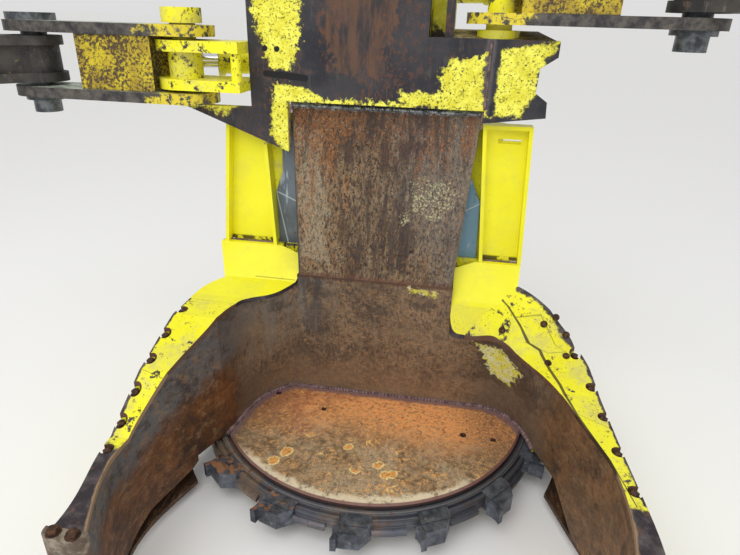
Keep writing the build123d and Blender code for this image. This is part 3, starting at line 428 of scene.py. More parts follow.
# Painted shade: the wall is darkened towards its corners, where it curves into the horn walls.
corner = rubbed.step(abs(rubbed.x + 0.02) + rubbed.fray(0.2, 5, 7.0), 0.36, 0.46)
sheet = rubbed.blend(corner * 0.5, sheet, (0.086, 0.068, 0.058))
crease = 1 - rubbed.step(crease_height - rubbed.z + rubbed.fray(0.02, 30, 7.0), 0.004, 0.016)
sheet = rubbed.blend(crease * 0.7, sheet, (0.085, 0.035, 0.025))
along = rubbed.step(-1 * rubbed.y + rubbed.fray(0.2, 7, 7.0, 0.7), 0.18, 0.32)
on_right = rubbed.step(rubbed.x, 0.3, 0.34)
left_wall = scraped(rubbed, border=0.47, slope=0.2, grey=(0.13, 0.135, 0.14), dark=(0.085, 0.042, 0.022),
                    red=(0.2, 0.08, 0.028), flecks=0.35)
right_wall = scraped(rubbed, border=0.66, slope=0.1, grey=(0.2, 0.135, 0.09), dark=(0.15, 0.09, 0.05),
                     red=(0.28, 0.15, 0.07), flecks=0.9)
sheet = rubbed.blend(along * (1 - on_right) * rubbed.step(-1 * rubbed.x, 0.28, 0.34), sheet, left_wall)
sheet = rubbed.blend(along * on_right, sheet, right_wall)
shade = rubbed.patch(rubbed.x, rubbed.z, [(0.4, 0.3), (0.58, 0.29), (0.58, 0.46), (0.36, 0.49)], 0.08, 12)
sheet = rubbed.blend(shade * 0.35, sheet, (0.05, 0.032, 0.022))
rag_corners = [(0.44, 0.33), (0.5, 0.31), (0.53, 0.4), (0.45, 0.46), (0.37, 0.455)]
rags = rubbed.patch(rubbed.x, rubbed.z, rag_corners, 0.03, 60)
rags = rags * (1 - rubbed.step(rubbed.grain(120, 8.0, 0.75), 0.57, 0.63))
speck_corners = [(0.13, 0.645), (0.22, 0.635), (0.22, 0.65), (0.12, 0.664)]
specks = rubbed.patch(rubbed.x, rubbed.z, speck_corners, 0.03, 90)
mouth_corners = [(-0.95, 0.44), (-0.87, 0.44), (-0.87, 0.47), (-0.95, 0.5)]
mouth_rag = rubbed.patch(rubbed.y, rubbed.z, mouth_corners, 0.03, 60)
paint_left = rubbed.either(rags, specks * 0.85, mouth_rag * on_right)
rag_paint = rubbed.mottle((0.78, 0.7, 0.08), (0.78, 0.76, 0.42), (0.42, 0.58), 40, 7.0)
sheet = rubbed.blend(paint_left * 0.95, sheet, rag_paint)
rubbed.lay(sheet, 0.42 + rubbed.grain(18) * 0.3, 0.2 - paint_left * 0.2,
           rubbed.grain(22, 9.0, 0.65) + weave * 0.5 + streak * 0.3 + paint_left * 0.3, 0.003)
dress(rubbed, "pocket_wall", "horn_inner_left", "horn_inner_right")

# The soles take the inner walls' colours made darker: dirt, and a painted shade where they show under the inner
# walls.
soled = Finish("sole_steel_dirt_and_painted_shade")
sole_wall = scraped(soled, border=0.5, slope=0.1, grey=(0.1, 0.1, 0.11), dark=(0.05, 0.035, 0.025),
                    red=(0.1, 0.05, 0.03), flecks=0.3)
soled.lay(sole_wall, 0.5, 0.3, soled.grain(26, 9.0, 0.7), 0.003)
dress(soled, "horn_sole_left", "horn_sole_right")


# Horns, flanges and outer walls
# Painted plates on top of the horns, bolted down in half-round recesses along the outer edge.
# The paint is chipped, and gone where stems drop on the ends.
def chipped_paint(name, chips=0.6, fade=None, dirt=0.5, gloss=0.4, seams=None, lip=None, shade_and_scuff=None):
    """Yellow paint with dust, fine dark specks, chips down to the steel and, where asked, dark seams."""
    look = Finish(name)
    paint = look.mottle((0.87, 0.81, 0.012), (0.93, 0.885, 0.03), (0.3, 0.7), 4, 5.0)
    dust = look.step(look.grain(7, 7.0, 0.65) + look.grain(45, 6.0) * 0.3, 0.6, 0.86)
    paint = look.blend(dust * 0.7 * dirt, paint, (0.55, 0.5, 0.2))
    if shade_and_scuff:
        # Where asked, a mustard tone: painted shade, and scuffs.
        paint = look.blend(shade_and_scuff(look), paint, (0.6, 0.52, 0.1))
    grime = look.step(look.grain(90, 7.0, 0.72) + look.grain(9, 5.0) * 0.35, chips + 0.17, chips + 0.24)
    paint = look.blend(grime * 0.85, paint, (0.12, 0.085, 0.03))
    bare = look.step(look.grain(24, 9.0, 0.72) + look.grain(5, 4.0) * 0.3, chips + 0.16, chips + 0.19)
    if fade:
        bare = look.either(bare, fade(look))
    steel = look.mottle((0.045, 0.036, 0.042), (0.15, 0.125, 0.13), (0.4, 0.65), 15, 8.0, 0.7)
    steel = look.fleck(steel, (0.2, 0.095, 0.05), 0.6, (0.56, 0.66), 32, 8.0, 0.7)
    if lip:
        steel = look.blend((1 - look.step(look.up, 0.08, 0.2)) * 0.7, steel, (0.2, 0.1, 0.055))
        # Where asked, the tan edge: rust and a painted highlight.
        steel = look.blend(lip(look), steel, (0.42, 0.29, 0.17))
    surface = look.blend(bare, paint, steel)
    relief = (1 - bare) * 0.6 + look.grain(60, 6.0) * 0.25
    if seams:
        lines = seams(look)
        surface = look.blend(lines * 0.9, surface, (0.05, 0.035, 0.02))
        relief = relief - lines
    look.lay(surface, gloss + bare * 0.15 + dust * 0.15, bare * 0.4, relief, 0.0015)
    return look


def worn_ends(look):
    """Bare at the horn's end, along the outer edge, on the plate's sides and at a few knocks."""
    ragged = look.grain(24, 9.0, 0.72) - 0.5
    along = look.step(-1 * look.y + look.fray(0.14, 13, 8.0, 0.7) + look.x * 0.02, 0.715, 0.735)
    left_edge = [(-0.58, -0.159), (-0.606, -0.24), (-0.625, -0.404), (-0.639, -0.575), (-0.647, -0.7)]
    right_edge = [(0.487, -0.044), (0.529, -0.053), (0.581, -0.069), (0.654, -0.095), (0.692, -0.112),
                  (0.723, -0.149), (0.74, -0.218), (0.756, -0.43), (0.779, -0.7)]
    edge = look.near(look.x, look.y, left_edge, right_edge)
    edge = 1 - look.step(edge + ragged * 0.03, 0.005, 0.009)
    rub = look.patch(look.x, look.y, [(0.29, -0.16), (0.345, -0.16), (0.36, -0.06), (0.31, -0.06)], 0.02, 60)
    knocks = ((-0.584, -0.546, 0.007), (-0.555, -0.366, 0.003), (-0.5, -0.31, 0.003), (0.458, -0.103, 0.009))
    for x, y, size in knocks:
        chip = look.near(look.x, look.y, [(x - 0.006, y - 0.004), (x + 0.006, y + 0.004)]) + ragged * 0.035
        rub = look.either(rub, 1 - look.step(chip, size, size + 0.002))
    rub = look.either(rub * look.step(look.grain(60, 8.0, 0.7), 0.46, 0.54), 1 - look.step(look.up, 0.08, 0.2))
    return look.either(along, edge, rub)


def tan_lip(look):
    """The inner edge towards the horn's end, rusted tan, with a painted highlight along the edge."""
    inner_left = [(-0.55, -0.541), (-0.588, -0.66), (-0.597, -0.77), (-0.572, -0.88), (-0.518, -1.01)]
    inner_right = [(0.722, -0.56), (0.736, -0.66), (0.732, -0.78), (0.708, -0.9), (0.664, -1.01)]
    lip = look.near(look.x, look.y, inner_left, inner_right)
    return (1 - look.step(lip + look.fray(0.02, 30, 8.0, 0.7), 0.003, 0.009)) * 0.8


def flange_seams(look):
    """The open slit down the right neck, painted dark as the shadow in its gap, the outline of its cover and
    three cross welds.
    """
    slit = look.near(look.x, look.y, [(0.439, -0.068), (0.507, -0.095), (0.578, -0.132), (0.632, -0.265),
                                      (0.666, -0.397), (0.723, -0.562), (0.755, -0.71)])
    wide = 0.0013 + look.step(-1 * look.y, 0.08, 0.15) * (1 - look.step(-1 * look.y, 0.25, 0.5)) * 0.0036
    # Painted shadow: the slit is a dark line, wider along the neck, standing for the shade in the gap.
    slit = 1 - look.step(slit - wide, -0.0006, 0.0008)
    cover = [(0.491, -0.087), (0.571, -0.082), (0.663, -0.129), (0.604, -0.139), (0.53, -0.112)]
    crosses = [[(0.659, -0.385), (0.751, -0.437)], [(-0.555, -0.552), (-0.634, -0.535)],
               [(-0.441, -0.245), (-0.606, -0.24)]]
    thin = look.near(look.x, look.y, cover, *crosses) + look.fray(0.004, 90, 6.0)
    thin = 1 - look.step(thin, 0.0003, 0.0014)
    return look.either(slit, thin * 0.55)


def worn_foot(look):
    """Bare along the foot of an upright wall and towards the horn's end."""
    low = 1 - look.step(look.z + look.fray(0.2, 9, 8.0, 0.7), 0.1, 0.17)
    front = look.step(-1 * look.y + look.fray(0.3, 9, 8.0, 0.7), 0.78, 0.86)
    return look.either(low, front)


flange_paint = chipped_paint("flange_paint", fade=worn_ends, dirt=0.95, gloss=0.45, seams=flange_seams,
                             lip=tan_lip)
dress(flange_paint, "horn_flange_left", "horn_flange_right")
dress(chipped_paint("outer_wall_paint", 0.56, fade=worn_foot), "horn_outer_left", "horn_outer_right",
      "horn_closer_left", "horn_closer_right")


def hex_bolt(size, height):
    """A hexagon bolt head on its washer, standing on the origin."""
    washer_height = height * 0.25
    head = fresh(bpy.ops.mesh.primitive_cylinder_add, vertices=6, radius=size, depth=height,
                 location=(0, 0, washer_height + height / 2))
    bpy.ops.object.transform_apply(location=True)
    ridges(head.data, lambda co: co.z > height)
    bpy.ops.mesh.bevel(offset=height * 0.2, segments=2)
    bpy.ops.object.mode_set(mode="OBJECT")
    washer = fresh(bpy.ops.mesh.primitive_cylinder_add, vertices=20, radius=size * 1.32, depth=washer_height,
                   location=(0, 0, washer_height / 2))
    bpy.ops.object.transform_apply(location=True)
    ridges(washer.data, lambda co: co.z > height * 0.2)
    bpy.ops.mesh.bevel(offset=height * 0.08, segments=1)
    bpy.ops.object.mode_set(mode="OBJECT")
    head.select_set(True)
    bpy.context.view_layer.objects.active = head
    bpy.ops.object.join()
    return head


def stand(x, y, z, tilt=0.0, turn=0.0):
    """The place of a copy, first tilted back about X and then turned about Z."""
    return Matrix.Translation((x, y, z)) @ Matrix.Rotation(turn, 4, "Z") @ Matrix.Rotation(tilt, 4, "X")


rusted = Finish("rusty_bolt_steel")
rusted.lay(rusted.mottle((0.03, 0.018, 0.014), (0.12, 0.056, 0.03), (0.4, 0.6), 70, 7.0),
           0.65, 0.3, rusted.grain(120, 6.0), 0.001)

neck_places = [(0.449, -0.102, 0.54, 1.26), (0.584, -0.091, 0.574, 1.26), (0.663, -0.142, 0.489, 0.54),
               (0.602, -0.176, 0.475, 0.36), (0.66, -0.1, 0.546, 1.26), (0.62, -0.083, 0.6, 1.26)]
neck_bolts = [stand(*place) for place in neck_places]
settle(repeat(hex_bolt(0.0092, 0.008), neck_bolts), "neck_bolts", rusted, "head_frame")

recess_places = [(-0.6, -0.311, 0.57), (-0.612, -0.409, 0.536), (-0.619, -0.498, 0.498),
                 (-0.627, -0.585, 0.446), (-0.635, -0.662, 0.39), (-0.63, -0.747, 0.364),
                 (0.692, -0.131, 0.452), (0.729, -0.259, 0.412), (0.742, -0.389, 0.399),
                 (0.752, -0.528, 0.391), (0.763, -0.662, 0.384)]
boss_rise, boss_depth = 0.022, 0.032
recess_bolts = [stand(x, y, z + boss_rise, 0.0, turn) for turn, (x, y, z) in enumerate(recess_places)]
bolt = hex_bolt(0.0125, 0.015)
boss = fresh(bpy.ops.mesh.primitive_cylinder_add, vertices=24, radius=0.0178, depth=boss_depth,
             location=(0, 0, -boss_depth / 2))
bpy.ops.object.transform_apply(location=True)
ridges(boss.data, lambda co: co.z > -boss_depth / 2)
bpy.ops.mesh.bevel(offset=0.003, segments=2)
bpy.ops.object.mode_set(mode="OBJECT")
bolt.select_set(True)
bpy.context.view_layer.objects.active = boss
bpy.ops.object.join()
settle(repeat(boss, recess_bolts), "recess_bolts", rusted, "head_frame")

tip_top = 0.415
tip_bolts = [stand(x, -1.0235, tip_top, 0.0, turn) for turn, x in enumerate((-0.585, -0.537, 0.683, 0.731))]
settle(repeat(hex_bolt(0.0135, 0.011), tip_bolts), "tip_bolts", rusted, "head_frame")


# Horn tips
# Solid blocks bolted to the ends of the horns, worn round and polished by the ground.
tipped = Finish("worn_tip_steel")
face = tipped.mottle((0.12, 0.085, 0.06), (0.33, 0.28, 0.21), (0.4, 0.6), 18, 8.0, 0.7)
rust = tipped.step(tipped.grain(10, 8.0), 0.55, 0.65)
tipped.lay(tipped.blend(rust * 0.8, face, (0.2, 0.08, 0.03)), 0.5, 0.35, tipped.grain(40, 8.0), 0.003)
dress(tipped, "horn_tip_left", "horn_tip_right")


# Shoulders and columns
# Folded plates that join the horns to the tower, with an open channel standing on each.
# Their paint is the best on the head, because no stem touches it.
def foot_dirt(look):
    """Dark dirt with chips where the columns stand, and the fold across the left shoulder."""
    ragged = look.fray(0.014, 60, 8.0, 0.7)
    foot = 1 - look.step(look.y * -1 + 0.012 + ragged, 0.002, 0.006)
    foot = foot * look.step(look.z, 0.738, 0.742) * (1 - look.step(look.z, 0.756, 0.762))
    fold = 1 - look.step(look.near(look.x, look.y, [(-0.422, -0.098), (-0.279, -0.099)]), 0.0006, 0.0018)
    return look.either(foot * look.step(look.grain(26, 7.0), 0.42, 0.5), fold * 0.55)


def pocket_lip(look):
    """Bare cut edge of the shoulders over the pocket wall."""
    left_lip = [(-0.47, -0.34), (-0.441, -0.245), (-0.402, -0.196), (-0.322, -0.146), (-0.265, -0.097)]
    right_lip = [(0.265, -0.097), (0.325, -0.111), (0.377, -0.11)]
    lip = look.near(look.x, look.y, left_lip, right_lip)
    return (1 - look.step(lip, 0.05, 0.07)) * (1 - look.step(look.up, 0.08, 0.2))


def fold_shade_and_scuff(look):
    """The lower right shoulder below its fold, darkened as a painted shade, with a dusty scuff."""
    under = 1 - look.step(look.z + look.fray(0.01, 30, 7.0), 0.606, 0.612)
    scuff = look.patch(look.x, look.z, [(0.272, 0.53), (0.3, 0.52), (0.325, 0.545), (0.29, 0.565)], 0.03, 60)
    fine = look.step(look.grain(120, 7.0, 0.75), 0.5, 0.6)
    return look.step(look.x, 0.0, 0.1) * look.either(under * (0.25 + fine * 0.25), scuff * fine * 0.9)


shoulder_paint = chipped_paint("shoulder_paint", 0.68, fade=pocket_lip, dirt=0.3, gloss=0.32, seams=foot_dirt,
                               shade_and_scuff=fold_shade_and_scuff)
dress(shoulder_paint, "shoulder_left", "shoulder_right")
dress(chipped_paint("column_paint", 0.7, dirt=0.3, gloss=0.32, seams=foot_dirt), "column_left", "column_right")

# The guards behind the columns are painted but always in the shade. Two bare folded sheets,
# polished blue-grey by branches, are bolted over their lower parts, with painted highlights along their folds.
shaded = chipped_paint("shaded_guard_paint", 0.62, dirt=1.0, gloss=0.5)
dress(shaded, "side_guard_left", "side_guard_right")


def folded_sheet(rows, thickness):
    """A sheet folded along lines across it, given as rows of two corners from the foot up."""
    sheet = fresh(bpy.ops.mesh.primitive_plane_add, size=1)
    for row in range(2, len(rows)):
        ridges(sheet.data, lambda co: co.y > row - 1.6)
        bpy.ops.mesh.extrude_region_move(TRANSFORM_OT_translate={"value": (0, 1, 0)})
        bpy.ops.object.mode_set(mode="OBJECT")
    corners = sorted(sheet.data.vertices, key=lambda vertex: (round(vertex.co.y, 2), vertex.co.x))
    for vertex, place in zip(corners, [corner for row in rows for corner in row]):
        vertex.co = place
    wall = {"thickness": thickness, "offset": 0}
    rounding = {"width": 0.0012, "segments": 2}
    for kind, settings in (("SOLIDIFY", wall), ("BEVEL", rounding)):
        modifier = sheet.modifiers.new(kind.lower(), kind)
        for name, setting in settings.items():
            setattr(modifier, name, setting)
        bpy.ops.object.modifier_apply(modifier=modifier.name)
    ridges(sheet.data, lambda co: True)
    bpy.ops.mesh.normals_make_consistent(inside=False)
    bpy.ops.object.mode_set(mode="OBJECT")
    return sheet


guarded = Finish("grey_guard_steel")
cold = guarded.mottle((0.11, 0.125, 0.145), (0.17, 0.2, 0.24), (0.35, 0.65), 9, 7.0)
cold = guarded.blend(guarded.step(guarded.x, 0.0, 0.1) * 0.85, cold, (0.19, 0.34, 0.44))
scratches = guarded.grain(50, 7.0, 0.65, (1, 1, 0.2), 0.4)
cold = guarded.blend(guarded.step(scratches, 0.57, 0.65) * 0.7, cold, (0.46, 0.54, 0.6))
cold = guarded.fleck(cold, (0.1, 0.07, 0.05), 0.5, (0.58, 0.68), 30, 7.0, 0.7)
# Painted highlights: light lines along the sheets' folds.
fold_highlights = guarded.near(guarded.x, guarded.z, [(0.262, 0.899), (0.336, 0.944)],
                     [(-0.262, 0.89), (-0.374, 0.934), (-0.33, 0.71)])
cold = guarded.blend((1 - guarded.step(fold_highlights, 0.0012, 0.003)) * 0.8, cold, (0.5, 0.56, 0.6))
guarded.lay(cold, 0.36 + guarded.grain(20) * 0.2, 0.3, guarded.grain(30, 7.0) + scratches * 0.3, 0.001)
right_rows = [[(0.262, 0.03, 0.655), (0.342, 0.03, 0.655)], [(0.262, 0.024, 0.899), (0.333, 0.024, 0.944)],
              [(0.262, 0.045, 1.101), (0.331, 0.026, 0.95)]]
left_rows = [[(-0.368, 0.03, 0.655), (-0.262, 0.03, 0.655)], [(-0.374, 0.03, 0.934), (-0.262, 0.018, 0.89)],
             [(-0.35, 0.034, 1.004), (-0.262, 0.034, 1.0)], [(-0.346, 0.034, 1.18), (-0.262, 0.034, 1.18)]]
for name, rows in (("guard_sheet_right", right_rows), ("guard_sheet_left", left_rows)):
    settle(folded_sheet(rows, 0.004), name, guarded, "head_frame")


# Wear plate
# A thick bare plate up the front of the tower. The stem rolls against it,
# so rust and bright steel lie on it in upright streaks.
streaked = Finish("streaked_wear_steel")
across, height = streaked.x, streaked.z
broad = streaked.grain(5, 7.0, 0.65, (1, 1, 0.5))
lines = streaked.grain(42, 8.0, 0.7, (1, 1, 0.07))
mottle = streaked.grain(110, 8.0, 0.8, (1, 1, 0.5))
grit = streaked.grain(200, 6.0, 0.8, (1, 1, 0.6))
bark = streaked.blend(streaked.step(mottle, 0.41, 0.57), (0.033, 0.022, 0.016), (0.28, 0.19, 0.108))
pale = streaked.patch(across, height, [(-0.25, 0.74), (-0.17, 0.74), (-0.17, 1.16), (-0.29, 1.16)], 0.08, 9)
bark = streaked.blend(pale * streaked.step(grit, 0.4, 0.56) * 0.75, bark, (0.38, 0.32, 0.22))
cool = streaked.step(across * 1.2 + (height - 0.92) * 0.35 + (broad - 0.5) * 0.7, 0.02, 0.26)
bark = streaked.blend(cool * streaked.step(grit, 0.36, 0.56) * 0.6, bark, (0.16, 0.155, 0.15))
warm = (height - 1.02) * 1.1 - 0.35 * across + (lines - 0.5) * 1.3 + (broad - 0.5) * 0.6
warm = streaked.step(warm, 0.0, 0.2)
warm = streaked.either(warm, streaked.step(broad - across * 0.35 + (lines - 0.5) * 0.5, 0.62, 0.76) * 0.8)
bark = streaked.blend(warm * streaked.step(mottle, 0.44, 0.54) * 0.85, bark, (0.17, 0.058, 0.02))
bark = streaked.fleck(bark, (0.5, 0.2, 0.055), warm * 0.85, (0.56, 0.62), 130, 6.0, 0.72)
bark = streaked.fleck(bark, (0.022, 0.014, 0.012), 0.8, (0.53, 0.59), 165, 7.0, 0.78, (1, 1, 0.35))
bark = streaked.fleck(bark, (0.44, 0.37, 0.27), 0.6, (0.58, 0.64), 150, 6.0, 0.7)
bands = streaked.grain(17, 7.0, 0.7, (1, 1, 0.09), 0.3)
broken = (mottle - 0.5) * 0.35
bark = streaked.blend(streaked.step(bands + broken, 0.53, 0.6) * 0.7, bark, (0.05, 0.032, 0.024))
bark = streaked.blend(streaked.step(0.94 - bands + broken, 0.53, 0.6) * 0.5, bark, (0.36, 0.29, 0.19))
sparks = streaked.step(streaked.grain(140, 7.0, 0.8, (1, 1, 0.6)) + (lines - 0.5) * 0.4, 0.53, 0.6)
bark = streaked.blend(sparks * (1 - cool * 0.6) * 0.6, bark, (0.36, 0.15, 0.04))
dark_band = streaked.patch(across, height, [(-0.06, 0.72), (0.09, 0.72), (0.15, 1.26), (-0.13, 1.26)], 0.1, 7)
dark_band = dark_band * streaked.step(lines + (mottle - 0.5) * 0.5, 0.46, 0.58)
bark = streaked.blend(dark_band * 0.75, bark, (0.035, 0.03, 0.032))
olive = streaked.patch(across, height, [(0.09, 0.89), (0.23, 0.9), (0.22, 1.02), (0.11, 1.02)], 0.09, 14)
bark = streaked.fleck(bark, (0.56, 0.53, 0.3), olive * 0.75, (0.52, 0.58), 140, 5.0, 0.7)
foot_half_width, flare, middle = 0.265, 0.069, 0.002
inset = foot_half_width + (height - crease_height) * flare - abs(across - middle)
border = 1 - streaked.step(inset + streaked.fray(0.05, 12, 8.0), 0.0, 0.024)
bark = streaked.blend(border * streaked.step(grit, 0.4, 0.55) * 0.5, bark, (0.28, 0.22, 0.15))
side = 1 - streaked.step(inset + streaked.fray(0.01, 30, 8.0), 0.002, 0.008)
bark = streaked.blend(side * (1 - streaked.step(across, -0.1, 0.1)) * 0.8, bark, (0.05, 0.045, 0.045))
pit = 1 - streaked.step(streaked.near(across, height, [(0.118, 0.789), (0.122, 0.789)]), 0.004, 0.007)
bark = streaked.blend(pit * 0.9, bark, (0.03, 0.02, 0.016))
# Painted highlight: a pale blue-grey band along the plate's lit top edge.
head = streaked.step(height + streaked.fray(0.03, 40, 8.0, 0.7), 1.222, 1.232)
top_edge_highlight = streaked.mottle((0.13, 0.145, 0.155), (0.7, 0.72, 0.66), (0.52, 0.6), 110, 6.0, 0.7)
bark = streaked.blend(head * 0.9, bark, top_edge_highlight)
foot = 1 - streaked.step(height - crease_height + streaked.fray(0.02, 26, 7.0), 0.002, 0.018)
bark = streaked.blend(foot * 0.6, bark, (0.12, 0.05, 0.034))
streaked.lay(bark, 0.5 + mottle * 0.3, 0.1, mottle + grit * 0.6 - pit, 0.003)
dress(streaked, "wear_plate")


# Tower face, wings and cap
# Thick plates welded in front of the spine. Stems have scrubbed most of the paint off,
# and what is left stands in ragged patches beside the welds.
towered = Finish("scrubbed_tower_paint")
across, height = towered.x, towered.z
dark = towered.mottle((0.02, 0.021, 0.028), (0.05, 0.048, 0.054), (0.36, 0.66), 6, 8.0, 0.65)
dark = towered.fleck(dark, (0.12, 0.066, 0.045), 0.6, (0.55, 0.66), 24, 8.0, 0.7)
dark = towered.fleck(dark, (0.03, 0.028, 0.032), 0.6, (0.56, 0.66), 48, 8.0, 0.72)
scrub = towered.grain(40, 8.0, 0.7, (1, 1, 0.2))
rusty = towered.step(towered.grain(90, 8.0, 0.78, (1, 1, 0.5)), 0.51, 0.59)
rust_cloud = towered.grain(6, 6.0, 0.6, (1, 1, 0.3)) - towered.step(across, 0.0, 0.15) * 0.08
rusty = rusty * towered.step(rust_cloud, 0.46, 0.56)
dark = towered.blend(rusty * 0.75, dark, (0.16, 0.06, 0.028))
dark = towered.blend(towered.step(scrub, 0.56, 0.7) * 0.3, dark, (0.13, 0.125, 0.12))
brown = towered.patch(across, height, [(-0.16, 1.33), (0.02, 1.33), (0.04, 1.85), (-0.2, 1.85)], 0.1, 8)
dark = towered.blend(brown * towered.step(scrub, 0.36, 0.58) * 0.7, dark, (0.15, 0.075, 0.04))
patches = [
    ([(-0.352, 1.341), (-0.289, 1.344), (-0.255, 1.43), (-0.252, 1.85), (-0.43, 1.85), (-0.402, 1.5)],
     0.03, 46),
    ([(-0.345, 1.25), (-0.19, 1.25), (-0.15, 1.258), (-0.29, 1.303), (-0.345, 1.303)], 0.025, 60),
    ([(-0.318, 1.09), (-0.29, 1.09), (-0.29, 1.27), (-0.348, 1.27), (-0.352, 1.23), (-0.373, 1.158)],
     0.018, 70),
    ([(-0.2, 1.246), (0.1, 1.246), (0.1, 1.262), (-0.2, 1.262)], 0.025, 60),
    ([(0.206, 1.246), (0.309, 1.246), (0.296, 1.402), (0.211, 1.391), (0.162, 1.344)], 0.028, 50),
    ([(0.05, 1.262), (0.21, 1.246), (0.21, 1.3), (0.054, 1.292)], 0.025, 60),
    ([(0.338, 1.237), (0.418, 1.24), (0.452, 1.3), (0.449, 1.36), (0.4, 1.434), (0.342, 1.422)], 0.02, 50),
    ([(0.4, 1.36), (0.45, 1.36), (0.499, 1.448), (0.39, 1.434)], 0.02, 50),
    ([(-0.65, 1.226), (-0.507, 1.2), (-0.463, 1.235), (-0.463, 1.27), (-0.65, 1.27)], 0.025, 34)]
kept = towered.either(*(towered.patch(across, height, *patch) for patch in patches))
kept = kept * (1 - towered.step(towered.grain(140, 8.0, 0.78), 0.55, 0.61))
kept = kept * towered.step(0.02 - towered.y, 0.0, 0.03)
behind = towered.step(towered.y, -0.01, 0.03) * (1 - towered.step(towered.grain(6, 8.0, 0.7), 0.5, 0.56))
kept = towered.either(kept, behind)
tone = towered.mottle((0.76, 0.7, 0.05), (0.92, 0.9, 0.12), (0.4, 0.62), 30, 8.0, 0.7)
slot = towered.near(across, height, [(-0.366, 1.331), (-0.242, 1.322)]) - 0.002
eyelets = towered.near(across, height, *([(x, 1.402), (x + 0.002, 1.403)] for x in (-0.368, -0.33)))
openings = towered.nearest(slot, eyelets) + towered.fray(0.006, 50, 7.0)
openings = 1 - towered.step(openings, 0.007, 0.009)
kept = kept * (1 - openings)
dark = towered.blend(openings, dark, (0.012, 0.011, 0.013))
seam = towered.near(across, height, [(0.311, 1.25), (0.311, 1.45)])
seam = (1 - towered.step(seam + towered.fray(0.02, 40, 7.0), 0.008, 0.02)) * (1 - kept)
dark = towered.blend(seam * 0.5, dark, (0.17, 0.16, 0.16))
towered.lay(towered.blend(kept, dark, tone), 0.58, 0.1 - kept * 0.1,
            kept * 0.5 + towered.grain(40, 9.0, 0.7), 0.002)
dress(towered, "tower_face", "wing_left", "wing_right", "tower_cap", "tower_side", "tower_side_right",
      "spine_left", "spine_right", "back_plate", "spine_skin", "arm_bracket_right")


# Shelf of the right arm
# A plate welded behind the right wing, sloping up under the arm's boss.
# Bark dust and oil lie on it, because nothing rubs it clean.
shelved = Finish("oily_shelf_steel")
dusting = shelved.step(shelved.grain(20, 8.0, 0.72) + shelved.grain(80, 6.0) * 0.3, 0.5, 0.74)
shelf = shelved.blend(dusting, (0.075, 0.058, 0.03), (0.36, 0.29, 0.13))
shelf = shelved.fleck(shelf, (0.03, 0.025, 0.02), 0.7, (0.56, 0.64), 50, 8.0, 0.75)
shelved.lay(shelf, 0.7, 0.0, shelved.grain(70, 7.0, 0.7), 0.0015)
shelf_rows = [[(0.201, -0.036, 1.446), (0.496, -0.036, 1.446)], [(0.201, 0.126, 1.469), (0.455, 0.126, 1.469)]]
settle(folded_sheet(shelf_rows, 0.006), "shelf_plate_right", shelved, "head_frame")


# Arm brackets, hitch lugs and cylinder lugs
# Flame-cut lugs welded to the tower, painted, with grease and chips round the pins.
speckled = chipped_paint("greasy_bracket_paint", 0.57, dirt=1.0, gloss=0.4)
dress(speckled, "arm_bracket_left", "arm_pin_left", "arm_pin_right", "hitch_lugs", "tilt_lugs",
      "cylinder_lug_left", "cylinder_lug_right", "barrel_left", "barrel_right")


# Grab arms
# Each arm is two long flame-cut plates with a box between them. The plates are dusty on top,
# worn bare along their edges, and the box is speckled with grease and chips.
armed = Finish("speckled_arm_paint")
top = armed.step(armed.up, 0.4, 0.8)
on_left = 1 - armed.step(armed.x, -0.2, -0.1)
left_plates = armed.either(armed.step(armed.z, 1.426, 1.43), 1 - armed.step(armed.z, 1.268, 1.272))
right_plates = armed.either(armed.step(armed.z, 1.664, 1.668), 1 - armed.step(armed.z, 1.518, 1.522))
plates = on_left * left_plates + (1 - on_left) * right_plates
pivots = [[(-0.625, -0.05), (-0.626, -0.05)], [(0.33, 0.03), (0.331, 0.03)]]
to_pivot = armed.near(armed.x, armed.y, *pivots)
by_pivot = 1 - armed.step(to_pivot + armed.fray(0.3, 12, 8.0, 0.7), 0.1, 0.13)
speck = armed.step(armed.grain(110, 8.0, 0.75) + armed.grain(12, 5.0) * 0.3, 0.62, 0.7)
ochre = armed.mottle((0.4, 0.28, 0.03), (0.66, 0.52, 0.03), (0.35, 0.65), 14, 7.0)
box_paint = armed.blend(speck, ochre, (0.09, 0.06, 0.03))
chalk = armed.step(armed.grain(22, 9.0, 0.72), 0.4, 0.58)
dusty = armed.blend(chalk, (0.24, 0.25, 0.22), (0.58, 0.66, 0.52))
dusty = armed.fleck(dusty, (0.14, 0.13, 0.11), 0.7, (0.58, 0.66), 60, 7.0, 0.7)
dusty = armed.blend(by_pivot * armed.step(armed.grain(30, 8.0, 0.7), 0.4, 0.5), dusty, (0.76, 0.64, 0.05))
bare = armed.mottle((0.035, 0.033, 0.036), (0.13, 0.115, 0.1), (0.36, 0.64), 30, 8.0, 0.7)
kept = by_pivot * armed.step(armed.grain(45, 8.0, 0.7), 0.42, 0.5)
bare = armed.blend(kept, bare, (0.74, 0.6, 0.04))
sides = armed.blend(plates, box_paint, bare)
armed.lay(armed.blend(top, sides, dusty), 0.5, 0.1, armed.grain(70, 8.0, 0.7), 0.0015)
dress(armed, "arm_left", "arm_right")


